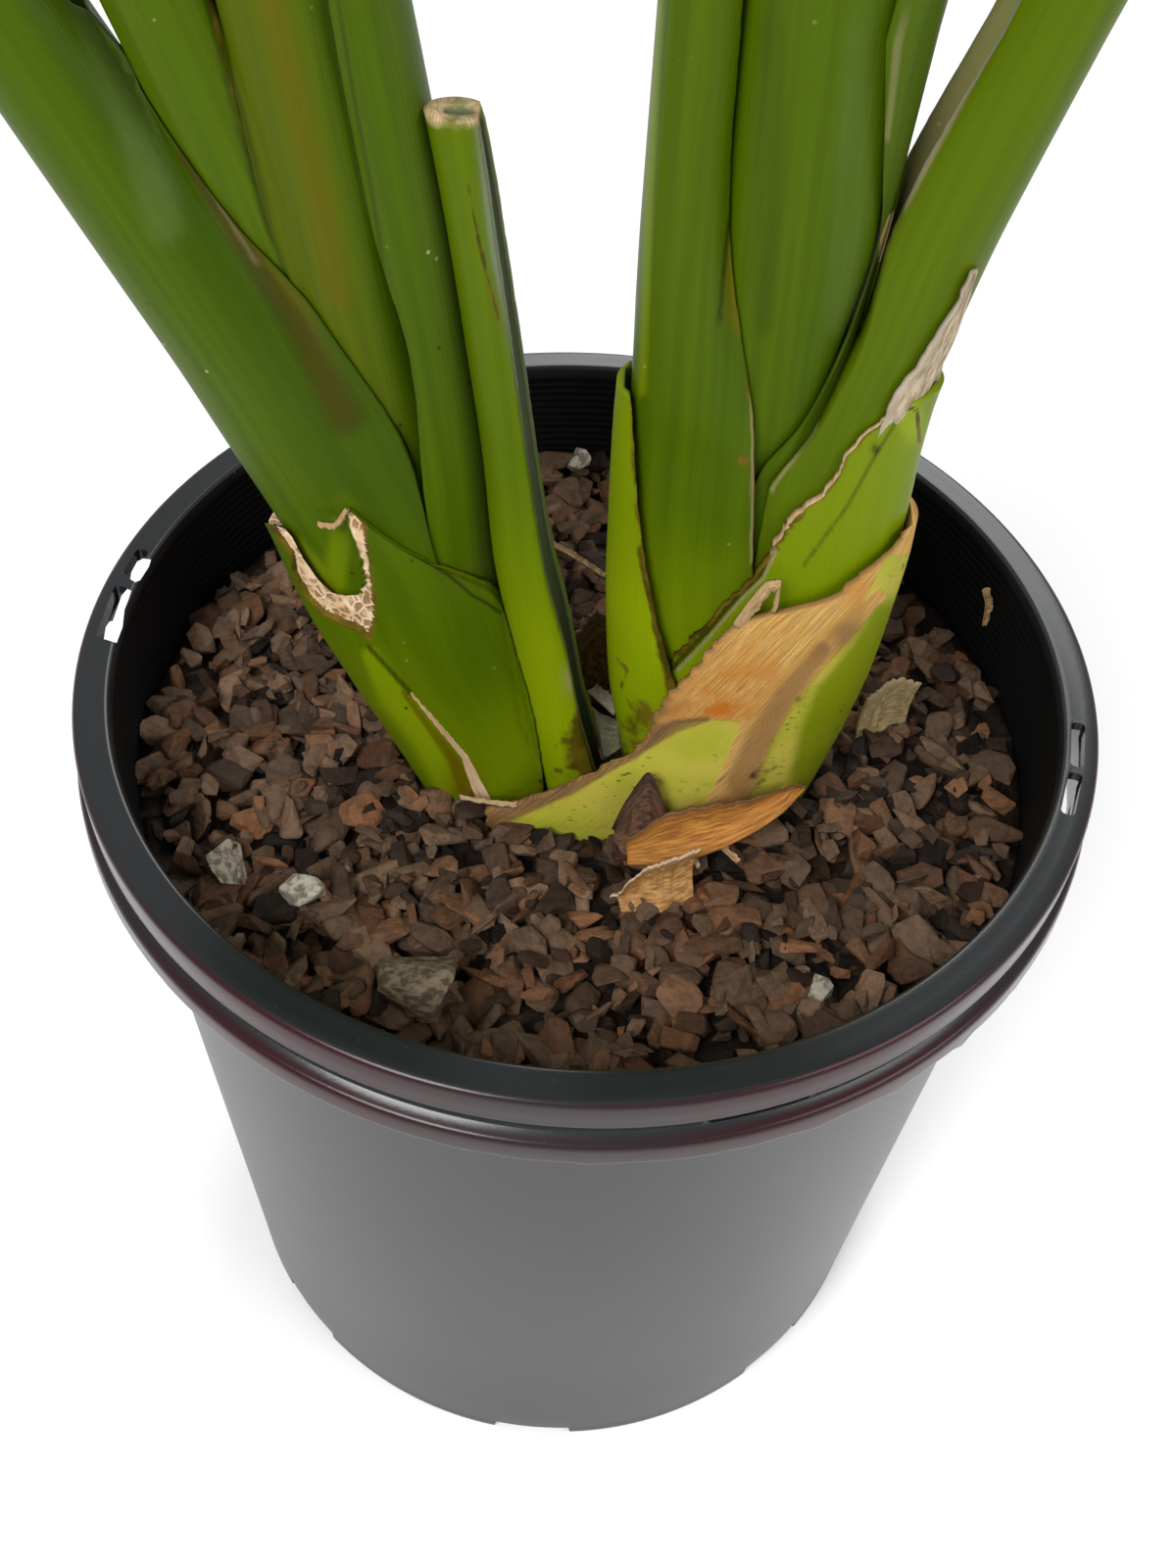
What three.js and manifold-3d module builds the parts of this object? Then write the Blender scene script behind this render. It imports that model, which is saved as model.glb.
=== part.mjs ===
// A potted bird of paradise: two shoots of clasping leaf stalks in a nursery pot filled with bark mulch.
// Millimetres, +Z up, origin on the floor under the middle of the pot. The shoots lie in planes along X.
import * as THREE from "three";
import { mergeVertices } from "three/addons/utils/BufferGeometryUtils.js";
import Module from "manifold-3d";

const wasm = await Module();
wasm.setup();

// Driving dimensions
const POT_HEIGHT = 252;
const POT_SIDES = 36;
const BODY_FOOT_R = 109.5;
const BODY_TOP_R = 122.9;
const COLLAR_Z = 229;
const RIM_R = 130;
const RIM_INNER_R = 122.4;
const WALL = 2.4;
const BASE_Z = 5;
const FLOOR_Z = 8;
const NOTCHES = 8;
const NOTCH_AZIMUTH = -91;
const SOIL_Z = 223;
const CROWN_Z = 198;
const NEST_TOP_Z = 430;
const GAP = 0.8;
const CLEAR = 0.32;
const WING = 1.2;
const LEFT_Y = -12;
const STUB_Y = -17;
const RIGHT_Y = -9;
const LAMINA = 1.1;

const rad = THREE.MathUtils.degToRad;
const clamp = THREE.MathUtils.clamp;
const lerp = THREE.MathUtils.lerp;
const vec = (x, y, z) => new THREE.Vector3(x, y, z);

// Seeded random numbers
function randomFrom(seed) {
  let state = seed;
  return () => {
    state = (state * 1664525 + 1013904223) % 4294967296;
    return state / 4294967296;
  };
}

// A three.js geometry as a solid, with its faces turned outwards
function solid(geometry) {
  const bare = geometry.clone();
  bare.deleteAttribute("normal");
  bare.deleteAttribute("uv");
  const merged = mergeVertices(bare, 1e-3);
  const corners = merged.index.array;
  const kept = [];
  for (let i = 0; i < corners.length; i += 3) {
    const [a, b, c] = [corners[i], corners[i + 1], corners[i + 2]];
    if (a !== b && b !== c && c !== a) kept.push(a, b, c);
  }
  const make = (triVerts) =>
    new wasm.Manifold(
      new wasm.Mesh({
        numProp: 3,
        vertProperties: new Float32Array(merged.attributes.position.array),
        triVerts,
      }),
    );
  const made = make(new Uint32Array(kept));
  if (made.volume() >= 0) return made;
  for (let i = 0; i < kept.length; i += 3) [kept[i + 1], kept[i + 2]] = [kept[i + 2], kept[i + 1]];
  return make(new Uint32Array(kept));
}

// The largest body of a solid, without the loose scraps that a cut leaves
function largest(made) {
  const bodies = made.decompose();
  return bodies.reduce((best, body) => (body.volume() > best.volume() ? body : best));
}

const group = new THREE.Group();

function add(name, made, color, roughness) {
  const mesh = made.getMesh();
  const points = new Float32Array(mesh.numVert * 3);
  for (let i = 0; i < mesh.numVert; i += 1) {
    points.set(mesh.vertProperties.subarray(i * mesh.numProp, i * mesh.numProp + 3), i * 3);
  }
  const geometry = new THREE.BufferGeometry();
  geometry.setAttribute("position", new THREE.BufferAttribute(points, 3));
  geometry.setIndex(new THREE.BufferAttribute(mesh.triVerts, 1));
  geometry.computeVertexNormals();
  const material = new THREE.MeshStandardMaterial({ color, roughness, metalness: 0 });
  const node = new THREE.Mesh(geometry, material);
  node.name = name;
  group.add(node);
}

// Which faces round a ring are split along the other diagonal, by the ring's number of points, so that
// a thin wall is split alike on both its sides
const MIRRORED = {
  20: (i) => Math.floor(i / 5) % 2 === 1,
  13: (i) => i > 7,
  4: (i) => i === 2,
};

// A closed skin through rings of matching points, capped by the given flat outlines of its end rings
function loft(rings, firstOutline, lastOutline) {
  const count = rings[0].length;
  const mirrored = MIRRORED[count];
  const points = [];
  const faces = [];
  rings.forEach((ring) => ring.forEach((p) => points.push(p.x, p.y, p.z)));
  for (let r = 0; r + 1 < rings.length; r += 1) {
    for (let i = 0; i < count; i += 1) {
      const a = r * count + i;
      const b = r * count + ((i + 1) % count);
      if (mirrored(i)) faces.push(a, b, a + count, b, b + count, a + count);
      else faces.push(a, b, b + count, a, b + count, a + count);
    }
  }
  const cap = (outline, base, sameTurn) => {
    const flat = outline.map(([q, d]) => new THREE.Vector2(q, d));
    const triangles = THREE.ShapeUtils.triangulateShape(flat, []);
    const turn = triangles.reduce((sum, corners) => sum + THREE.ShapeUtils.area(corners.map((i) => flat[i])), 0);
    const keep = turn * THREE.ShapeUtils.area(flat) > 0 === sameTurn;
    triangles.forEach(([a, b, c]) => faces.push(...(keep ? [a, b, c] : [a, c, b]).map((i) => base + i)));
  };
  const skin = new THREE.BufferGeometry();
  cap(firstOutline, 0, false);
  cap(lastOutline, (rings.length - 1) * count, true);
  skin.setAttribute("position", new THREE.Float32BufferAttribute(points, 3));
  skin.setIndex(faces);
  return solid(skin);
}

// Pot: body, hollow collar with two beads, flat rim, raised base on a notched foot
function bodyRadius(z) {
  return lerp(BODY_FOOT_R, BODY_TOP_R, z / COLLAR_Z);
}

function makePot() {
  const profile = [
    [0, BASE_Z],
    [97, BASE_Z],
    [99, 0],
    [BODY_FOOT_R - 0.6, 0],
    [bodyRadius(1.5), 1.5],
    [bodyRadius(120), 120],
    [BODY_TOP_R, COLLAR_Z],
    [BODY_TOP_R + 1.2, 249.4],
    [127.4, 249.4],
    [127.4, 234],
    [129.4, COLLAR_Z],
    [132.3, COLLAR_Z],
    [132.6, 233],
    [131.4, 236.6],
    [129.6, 238.2],
    [129.6, 241.6],
    [131.4, 243.4],
    [131.4, 248.6],
    [RIM_R, POT_HEIGHT],
    [RIM_INNER_R, POT_HEIGHT],
    [RIM_INNER_R - 0.6, POT_HEIGHT - 3],
    [BODY_TOP_R - WALL, COLLAR_Z],
    [bodyRadius(FLOOR_Z + 2) - WALL, FLOOR_Z + 2],
    [bodyRadius(FLOOR_Z) - WALL - 2, FLOOR_Z],
    [0, FLOOR_Z],
  ].map(([r, z]) => new THREE.Vector2(r, z));
  let pot = solid(new THREE.LatheGeometry(profile, POT_SIDES).rotateX(Math.PI / 2));
  const radialCut = (azimuth, width, length, height, radius, z) => {
    const block = new THREE.BoxGeometry(length, width, height);
    block.translate(radius, 0, z).rotateZ(rad(azimuth));
    pot = pot.subtract(solid(block));
  };
  for (let i = 0; i < NOTCHES; i += 1) {
    radialCut(NOTCH_AZIMUTH + i * 45, 23.5, 24, 10, 105, 0);
    const drain = new THREE.CylinderGeometry(6, 6, 12, 10).rotateX(Math.PI / 2);
    drain.translate(84, 0, FLOOR_Z - 2).rotateZ(rad(NOTCH_AZIMUTH + i * 45));
    pot = pot.subtract(solid(drain));
  }
  const rimSlots = [
    [170.5, 10.5],
    [179.2, 19],
    [-10, 15],
    [-17.6, 14],
  ];
  rimSlots.forEach(([azimuth, width]) => radialCut(azimuth, width, 3.4, 6, 125.8, 250));
  const collarSlots = [
    [165, 12],
    [174, 20],
    [-70.5, 24],
    [-18, 14],
  ];
  collarSlots.forEach(([azimuth, width]) => radialCut(azimuth, width, 6, 3.4, 129, 240));
  return pot;
}

// Leaf stalks and sheaths. A row gives, at a height z, the x of the keel, the x where the round
// body ends on the clasping side, half its depth, and the x of the sheath margin.
const STALKS = {
  old_sheath_left: {
    side: 1,
    y: LEFT_Y,
    wall: 6,
    inner: ["leaf_l1", "leaf_l4", "leaf_l3", "leaf_l2", "cut_stalk"],
    rows: [
      [198, -38, 3, 16, -8],
      [224, -48.5, -2, 17, -10],
      [252, -61, -9, 16.8, -13],
      [275, -70.5, -13, 16.6, -18.5],
      [290, -75, -16, 16.4, -23],
      [299, -77.4, -20, 16.2, -33],
      [309, -80.5, -25, 15.9, -46],
      [318, -84, -30, 15.6, -55],
    ],
  },
  leaf_l1: {
    side: 1,
    y: LEFT_Y,
    inner: ["leaf_l4", "leaf_l3", "leaf_l2"],
    rows: [
      [198, -34, -2, 13.4, -9],
      [250, -55.5, -13, 14.2, -20],
      [275, -65.5, -17, 14, -28],
      [300, -73.8, -20, 13.8, -36],
      [330, -86.7, -30, 13.5, -42],
      [365, -102, -62, 12.9, -59],
      [385, -111, -77, 12.7, -73],
      [405, -120, -90, 12.5, -87],
      [430, -131, -104, 12.3, -105.5],
    ],
  },
  leaf_l4: {
    side: -1,
    y: LEFT_Y,
    inner: ["leaf_l3", "leaf_l2"],
    rows: [
      [198, -7, -29, 11, -22],
      [250, -17.5, -47, 11.8, -36],
      [300, -24, -60, 12, -38],
      [330, -26.2, -52, 12, -39.5],
      [360, -29.9, -50, 12, -41.5],
      [385, -33.2, -52, 11.8, -47.5],
      [430, -40.6, -60, 11.3, -53],
    ],
  },
  leaf_l3: {
    side: -1,
    y: LEFT_Y,
    inner: ["leaf_l2"],
    rows: [
      [198, -12, -27.5, 8.6, -20],
      [300, -31, -60, 9.8, -46],
      [330, -36.5, -66, 10, -54],
      [360, -41.5, -66, 10.6, -61],
      [385, -45, -69, 11.2, -68],
      [430, -51, -76.5, 12, -74],
    ],
  },
  leaf_l2: {
    side: 1,
    y: LEFT_Y,
    inner: [],
    rows: [
      [198, -26.5, -17, 6, -18],
      [300, -59, -40, 7.4, -41.5],
      [360, -77.5, -54.5, 8.6, -56],
      [430, -98, -74.5, 10, -76],
    ],
  },
  cut_stalk: {
    side: 1,
    y: STUB_Y,
    wall: 3.4,
    inner: [],
    rows: [
      [198, -6.2, 11, 9, 8.5],
      [250, -16.7, 2, 10.5, -1.5],
      [275, -20.2, -2, 10.5, -6],
      [300, -24.2, -6, 10, -11.5],
      [330, -26.8, -10, 9.3, -16],
      [360, -30.5, -14, 8.4, -20],
      [385, -33.8, -18, 7.4, -23.5],
      [403, -36.7, -23, 6.2, -26.3],
      [410, -37.8, -25.5, 5, -27.6],
    ],
  },
  old_sheath_right: {
    side: -1,
    y: RIGHT_Y,
    wall: 2.4,
    farPower: 3,
    inner: ["short_sheath", "spear_sheath", "leaf_r1", "leaf_r4", "leaf_r3", "leaf_r2"],
    rows: [
      [198, 57, -42, 26.5, -14, 30],
      [224, 63, -48, 27.4, -24, 27],
      [239, 66, -26, 26.6, -1, 25],
      [244, 67, -18, 26, 5, 24.5],
      [253, 68.6, -8, 24.4, 15, 24],
      [265, 70.5, -2, 22.8, 18, 24],
      [280, 71.8, 0, 21.6, 25.5, 28],
      [292, 72.6, 0, 20.8, 32.5, 34],
      [298, 73, 0, 20.3, 46, 45],
      [306, 73.1, 0, 19.8, 60, 58],
      [314, 73, 2, 19.4, 68.5, 67],
    ],
  },
  short_sheath: {
    side: 1,
    y: RIGHT_Y,
    wall: 3,
    inner: ["spear_sheath", "leaf_r1", "leaf_r4", "leaf_r3", "leaf_r2"],
    rows: [
      [198, 13, 56, 21, 26],
      [224, 10, 61, 21.3, 28],
      [254, 4.8, 67, 20.2, 25],
      [271, 3.3, 69, 19.2, 20],
      [290, 2.2, 70, 18.2, 14],
      [316, 1.6, 71, 17.2, 8.6],
      [334, 1.4, 72, 16.6, 6.2],
      [346, 1.6, 73, 16.2, 4.6],
    ],
  },
  spear_sheath: {
    side: -1,
    y: RIGHT_Y,
    wall: 4,
    inner: ["leaf_r1", "leaf_r4", "leaf_r3", "leaf_r2"],
    rows: [
      [198, 53, 15, 18.4, 20],
      [224, 59, 12, 18.6, 16],
      [250, 64, 8, 18, 14],
      [274, 67.3, 6.5, 17, 20],
      [296, 69.7, 5.5, 16.2, 31],
      [306, 70.3, 5, 15.9, 37],
      [331, 70.2, 6, 15.1, 49.5],
      [344, 70.6, 8, 14.7, 54],
      [352, 71.4, 12, 14.4, 63],
    ],
  },
  leaf_r1: {
    side: 1,
    y: RIGHT_Y,
    inner: ["leaf_r4", "leaf_r3", "leaf_r2"],
    rows: [
      [198, 16, 49, 15.6, 44],
      [250, 9, 60, 15.5, 50],
      [275, 7.5, 63.5, 15, 46],
      [300, 5.5, 66, 14.2, 36.5],
      [330, 5, 60, 13.6, 33],
      [345, 4.8, 40, 13.2, 31],
      [358, 4.5, 32, 12.9, 28],
      [388, 4, 22.5, 12.4, 21.5],
      [430, 4, 20.5, 12, 19],
    ],
  },
  leaf_r4: {
    side: -1,
    y: RIGHT_Y,
    inner: ["leaf_r3", "leaf_r2"],
    rows: [
      [198, 47, 22, 12.9, 26],
      [275, 61.5, 22.5, 12.9, 35],
      [327, 65.6, 22, 12.4, 36.5],
      [342, 67, 26, 12.3, 44],
      [355, 69.2, 34, 12.2, 48],
      [367, 71.5, 42, 12.1, 51],
      [388, 75.3, 50, 11.9, 53],
      [401, 78.2, 54, 11.8, 56],
      [430, 85, 63.5, 11.5, 65.5],
    ],
  },
  leaf_r3: {
    side: -1,
    y: RIGHT_Y,
    inner: ["leaf_r2"],
    rows: [
      [198, 36, 23.5, 10, 27],
      [275, 45, 24, 10.6, 29],
      [330, 49, 23, 10.9, 34],
      [345, 50, 24, 11, 42],
      [367, 51.6, 28, 11.2, 48.5],
      [388, 53.2, 31, 11.4, 50.8],
      [405, 54, 33, 11.5, 48.4],
      [430, 55.2, 36, 11.6, 44.3],
    ],
  },
  leaf_r2: {
    side: 1,
    y: RIGHT_Y,
    farPower: 3,
    inner: [],
    rows: [
      [198, 25, 31, 7, 30.2],
      [300, 23.5, 40, 8.6, 39],
      [360, 20.5, 48, 9.6, 47],
      [388, 19.4, 51.4, 9.9, 50.4],
      [430, 18, 50, 10.3, 49],
    ],
  },
};

// Above the nest: leans from upright in degrees at the nest, the blade's foot and its tip, the
// lean towards the back, lengths of stalk and blade, half the blade's width, and its twist.
const LEAVES = {
  leaf_l1: { lean: [-24, -32, -64], back: -6, stalk: 215, blade: 400, half: 104, twist: -14, thick: 24.5 },
  leaf_l2: { lean: [-16, -22, -50], back: 13, stalk: 300, blade: 420, half: 108, twist: 20, thick: 21 },
  leaf_l3: { lean: [-10, -10, -24], back: -9, stalk: 345, blade: 430, half: 106, twist: -24, thick: 23 },
  leaf_l4: { lean: [-5, -2, -8], back: 12, stalk: 235, blade: 390, half: 98, twist: 30, thick: 9.5 },
  leaf_r1: { lean: [0, 1, 4], back: -13, stalk: 250, blade: 400, half: 100, twist: 34, thick: 14 },
  leaf_r2: { lean: [1, 4, 12], back: 2, stalk: 350, blade: 440, half: 104, twist: 22, thick: 20 },
  leaf_r3: { lean: [4, 14, 38], back: 13, stalk: 280, blade: 410, half: 104, twist: -20, thick: 8 },
  leaf_r4: { lean: [14, 32, 80], back: -5, stalk: 240, blade: 426, half: 104, twist: 16, thick: 19 },
};

const OUTER_STEPS = [0.03, 0.12, 0.3, 0.6, 1];
const INNER_STEPS = [0, 0.35, 0.7, 0.93];

// The row of a stalk at height z, between its listed rows, or null where the stalk isn't
function rowAt(stalk, z) {
  const rows = stalk.rows;
  if (z < rows[0][0] - 1e-6 || z > rows[rows.length - 1][0] + 1e-6) return null;
  const i = clamp(rows.findIndex((row) => row[0] >= z - 1e-6), 1, rows.length - 1);
  const [low, high] = [rows[i - 1], rows[i]];
  const t = clamp((z - low[0]) / (high[0] - low[0]), 0, 1);
  const [keel, far, depth, margin] = [1, 2, 3, 4].map((k) => lerp(low[k], high[k], t));
  const marginBack = low.length > 5 ? lerp(low[5], high[5], t) : margin;
  return { keel, far, depth, margin, marginBack };
}

// Half the depth of a stalk's round body at x
function bodyDepth(stalk, row, x) {
  const half = Math.abs(row.far - row.keel) / 2;
  const u = (stalk.side * (x - row.keel)) / half - 1;
  if (Math.abs(u) >= 1) return 0;
  const power = u > 0 && stalk.farPower ? stalk.farPower : 2;
  return row.depth * (1 - Math.abs(u) ** power) ** (1 / power);
}

// Half the depth of a stalk's outside at x and z, its wings riding over the stalks inside it
function outsideDepth(name, x, z, back = false) {
  const stalk = STALKS[name];
  const row = rowAt(stalk, z);
  if (!row) return 0;
  const margin = back ? row.marginBack : row.margin;
  const along = stalk.side * (x - row.keel);
  if (along < -1e-6 || along > stalk.side * (margin - row.keel) + 1e-6) return 0;
  const within = nestDepth(stalk, x, z, back);
  return Math.max(bodyDepth(stalk, row, x), within > 0 ? within + GAP + WING : 0);
}

// Half the depth that the stalks inside a stalk take at x and z, from the outer stalk's middle plane
function nestDepth(stalk, x, z, back = false) {
  const depths = stalk.inner.map((name) => {
    const depth = outsideDepth(name, x, z, back);
    const shift = STALKS[name].y - stalk.y;
    return depth > 0 ? depth + (back ? shift : -shift) : 0;
  });
  return Math.max(0, ...depths);
}

// Where the stalks inside begin, seen from the keel
function nestStart(stalk, z) {
  const starts = [];
  stalk.inner.forEach((name) => {
    const row = rowAt(STALKS[name], z);
    if (row) starts.push(stalk.side * row.keel, stalk.side * row.margin);
  });
  return starts.length ? stalk.side * Math.min(...starts) : null;
}

// The flat outline of a stalk at height z as [distance from keel, depth], front side negative
function nestOutline(name, z, grow = 0) {
  const stalk = STALKS[name];
  const row = rowAt(stalk, z);
  const start = nestStart(stalk, z);
  const thickness = stalk.side * (row.far - row.keel);
  let bottom = Math.max(thickness * 0.76, 1.6);
  const marginReach = stalk.side * (row.margin - row.keel);
  if (start !== null) {
    const clasp = stalk.side * (start - row.keel) - GAP;
    if (clasp < marginReach) bottom = Math.min(bottom, clasp);
  }
  if (stalk.wall) bottom = Math.min(bottom, stalk.wall);
  bottom = Math.max(Math.min(bottom, marginReach - 1), 1.2);
  const half = (sign) => {
    const back = sign > 0;
    const reach = stalk.side * ((back ? row.marginBack : row.margin) - row.keel);
    const xAt = (q) => row.keel + stalk.side * q;
    const outer = (q) => Math.max(outsideDepth(name, xAt(q), z, back), 0.9);
    const outside = OUTER_STEPS.map((f) => {
      const q = f * reach;
      return [q + grow * (f === 1 ? 1 : 0), sign * (outer(q) + grow)];
    });
    const inside = INNER_STEPS.map((f) => {
      const q = lerp(reach, bottom, f);
      const shell = stalk.wall ? outer(q) - stalk.wall : 0;
      const groove = 0.42 * row.depth * Math.sqrt(1 - f * f);
      const within = Math.max(...[-GAP, 0, GAP].map((off) => nestDepth(stalk, xAt(q) + off, z, back)));
      const space = Math.max(within > 0 ? within + GAP : 0, shell, stalk.wall ? 0 : groove);
      return [q, sign * Math.min(space, outer(q) - 0.9)];
    });
    return { outside, inside };
  };
  const front = half(-1);
  const back = half(1);
  const keel = [-grow, 0];
  if (grow > 0) {
    const lips = [front, back].map(({ inside: [[q, d]] }) => [q + grow, d - Math.sign(d) * grow]);
    return [keel, ...front.outside, ...lips, ...back.outside.reverse()];
  }
  return [
    keel,
    ...front.outside,
    ...front.inside,
    [bottom, 0],
    ...back.inside.reverse(),
    ...back.outside.reverse(),
  ];
}

function nestRings(name, grow = 0) {
  const stalk = STALKS[name];
  return stalk.rows.map(([z, keel]) => {
    const outline = nestOutline(name, z, grow);
    const ring = outline.map(([q, d]) => vec(keel + stalk.side * q, stalk.y + d, z));
    return { outline, ring };
  });
}

// The section of a free stalk as [towards the upper side, sideways] about its middle
function stalkOutline(thick, depth) {
  const bottom = thick * 0.78;
  const outer = (q) => depth * Math.sqrt(Math.max(0, 1 - ((2 * q) / thick - 1) ** 2));
  const half = (sign) => ({
    outside: OUTER_STEPS.map((f) => {
      const q = f * thick * 0.96;
      return [q - thick / 2, sign * outer(q)];
    }),
    inside: INNER_STEPS.map((f) => {
      const q = lerp(thick * 0.96, bottom, f);
      return [q - thick / 2, sign * Math.max(0, Math.min(0.4 * depth * Math.sqrt(1 - f * f), outer(q) - 0.7))];
    }),
  });
  const front = half(-1);
  const back = half(1);
  return [
    [-thick / 2, 0],
    ...front.outside,
    ...front.inside,
    [bottom - thick / 2, 0],
    ...back.inside.reverse(),
    ...back.outside.reverse(),
  ];
}

// Share of the blade's greatest half width at t of its length
function bladeWidth(t) {
  return Math.sin(Math.PI * clamp(t, 0, 1) ** 0.62) ** 0.75;
}

// The section of the blade at t: a rib below, a shallow groove above and a thin lamina either side
function bladeOutline(t, half, foot) {
  const rib = lerp(foot, 1.3, t ** 0.8);
  const width = Math.max(half * bladeWidth(t), rib + 0.8);
  const flank = rib * 0.8;
  const rise = (v) => 0.16 * Math.max(0, v - flank) - 0.0007 * v * v;
  const wave = (v, sign) => {
    const share = v / half;
    return sign * 5 * share * share * Math.sin(t * 15 + sign) + 3 * share * share * Math.sin(t * 9 + sign * 2);
  };
  const upper = (v, sign) => rise(v) + wave(v, sign);
  const side = (sign) => {
    const spread = [flank, lerp(flank, width, 0.38), lerp(flank, width, 0.74), width];
    return {
      outside: [
        [-rib * 0.75, sign * rib * 0.6],
        [-LAMINA, sign * flank],
        [upper(spread[1], sign) - LAMINA, sign * spread[1]],
        [upper(spread[2], sign) - LAMINA, sign * spread[2]],
        [upper(spread[3], sign) - LAMINA, sign * spread[3]],
      ],
      inside: [
        [upper(spread[3], sign), sign * spread[3]],
        [upper(spread[2], sign), sign * spread[2]],
        [upper(spread[1], sign), sign * spread[1]],
        [0.2, sign * flank],
      ],
    };
  };
  const front = side(-1);
  const back = side(1);
  return [
    [-rib, 0],
    ...front.outside,
    ...front.inside,
    [-0.25 * rib, 0],
    ...back.inside.reverse(),
    ...back.outside.reverse(),
  ];
}

const STALK_STEPS = [0.15, 0.42, 0.72, 1];
const BLADE_STEPS = [0.04, 0.12, 0.24, 0.37, 0.5, 0.63, 0.75, 0.86, 0.94, 1];
const BLADE_FOOT_R = 6.5;

// The rings of a leaf above the nest, along a path that leans, drifts and arches
function leafRings(name) {
  const leaf = LEAVES[name];
  const stalk = STALKS[name];
  const top = rowAt(stalk, NEST_TOP_Z);
  const place = vec(top.keel + (stalk.side * leaf.thick) / 2, stalk.y, NEST_TOP_Z);
  const direction = (s) => {
    const onStalk = clamp(s / leaf.stalk, 0, 1);
    const onBlade = clamp((s - leaf.stalk) / leaf.blade, 0, 1);
    const lean = rad(
      lerp(leaf.lean[0], leaf.lean[1], onStalk ** 1.5) + (leaf.lean[2] - leaf.lean[1]) * onBlade ** 1.2,
    );
    const back = rad(leaf.back) * onStalk;
    return vec(Math.sin(lean), Math.sin(back), Math.cos(lean)).normalize();
  };
  const rings = [];
  const stations = [
    ...STALK_STEPS.map((f) => f * leaf.stalk),
    ...BLADE_STEPS.map((f) => leaf.stalk + f * leaf.blade),
  ];
  let walked = 0;
  stations.forEach((s) => {
    const pieces = 6;
    for (let i = 0; i < pieces; i += 1) {
      const step = (s - walked) / pieces;
      place.addScaledVector(direction(walked + (i + 0.5) * step), step);
    }
    walked = s;
    const tangent = direction(s);
    const across = vec(stalk.side, 0, 0).addScaledVector(tangent, -stalk.side * tangent.x).normalize();
    const twist = rad(leaf.twist) * clamp(s / (leaf.stalk + leaf.blade * 0.5), 0, 1) ** 1.4;
    across.applyAxisAngle(tangent, twist);
    const sideways = vec(0, 0, 0).crossVectors(tangent, across).multiplyScalar(stalk.side);
    const onStalk = s / leaf.stalk;
    const outline =
      onStalk <= 1
        ? stalkOutline(
            lerp(leaf.thick, 14, Math.min(1, onStalk * 1.2)),
            lerp(top.depth, BLADE_FOOT_R + 0.6, onStalk),
          )
        : bladeOutline((s - leaf.stalk) / leaf.blade, leaf.half, BLADE_FOOT_R);
    const ring = outline.map(([a, d]) =>
      place.clone().addScaledVector(across, a).addScaledVector(sideways, d),
    );
    rings.push({ outline, ring });
  });
  return rings;
}

function makeStalk(name) {
  const rings = nestRings(name);
  if (LEAVES[name]) rings.push(...leafRings(name));
  return loft(
    rings.map((r) => r.ring),
    rings[0].outline,
    rings[rings.length - 1].outline,
  );
}

function grownStalk(name, grow) {
  const rings = nestRings(name, grow);
  return loft(
    rings.map((r) => r.ring),
    rings[0].outline,
    rings[rings.length - 1].outline,
  );
}

// The scooped cut that took the left sheath's leaf off
function scoop() {
  const bowl = new THREE.SphereGeometry(1, 14, 9).scale(17, 24, 30).rotateY(rad(-20));
  bowl.translate(-72, -19, 319);
  const backCut = new THREE.BoxGeometry(90, 40, 60).translate(-50, LEFT_Y + 16, 330);
  return solid(bowl).add(solid(backCut));
}

// The dried spear at the tip of the right-hand sheath, lying on the stalk behind it
function spear() {
  const rows = [
    [338, 55, 69.5],
    [350, 59, 70],
    [362, 62.5, 70],
    [374, 65.8, 70.2],
    [385, 68.8, 70.4],
  ];
  const rings = rows.map(([z, left, right]) => {
    const depth = Math.max(outsideDepth("leaf_r4", left, z), outsideDepth("leaf_r4", right, z));
    const near = RIGHT_Y - depth - GAP;
    const outline = [
      [left, near],
      [left, near - 1.6],
      [right, near - 1.6],
      [right, near],
    ];
    return { outline, ring: outline.map(([x, y]) => vec(x, y, z)) };
  });
  return loft(
    rings.map((r) => r.ring),
    rings[0].outline,
    rings[rings.length - 1].outline,
  );
}

// Rhizome with two crowns and thick roots
function makeRhizome(grow = 0) {
  const crown = (x, y, rx, ry) => {
    const lump = new THREE.SphereGeometry(1, 12, 7).scale(rx + grow, ry + grow, 26 + grow);
    return solid(lump.translate(x, y, CROWN_Z - 22));
  };
  let body = crown(-16, LEFT_Y, 30, 20).add(crown(33, RIGHT_Y, 32, 22));
  const roots = [
    [-150, 74, 60],
    [-95, 60, 40],
    [-40, 78, 70],
    [15, 70, 34],
    [75, 66, 55],
    [135, 80, 44],
  ];
  roots.forEach(([azimuth, reach, low]) => {
    const out = vec(Math.cos(rad(azimuth)), Math.sin(rad(azimuth)), 0);
    const start = vec(8, -10, 172);
    const path = new THREE.QuadraticBezierCurve3(
      start,
      start.clone().addScaledVector(out, reach * 0.8).setZ(150),
      start.clone().addScaledVector(out, reach).setZ(low),
    );
    const section = new THREE.Shape();
    section.absarc(0, 0, 5 + grow, 0, Math.PI * 2, false);
    const root = new THREE.ExtrudeGeometry(section, {
      curveSegments: 3,
      steps: 4,
      extrudePath: path,
      bevelEnabled: false,
    });
    body = body.add(solid(root));
  });
  const above = new THREE.BoxGeometry(200, 120, 60).translate(0, 0, CROWN_Z - CLEAR + 30 + grow);
  return largest(body.subtract(solid(above)));
}

// Height of the mulch, a low heap with lumps
function mulchHeight(x, y) {
  const lumps =
    1.5 * Math.sin(x * 0.33 + 1.7) * Math.sin(y * 0.29 + 0.4) + 1.1 * Math.sin(x * 0.61 - y * 0.43 + 2.1);
  return SOIL_Z + lumps;
}

const CHIPS = 36;

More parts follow.
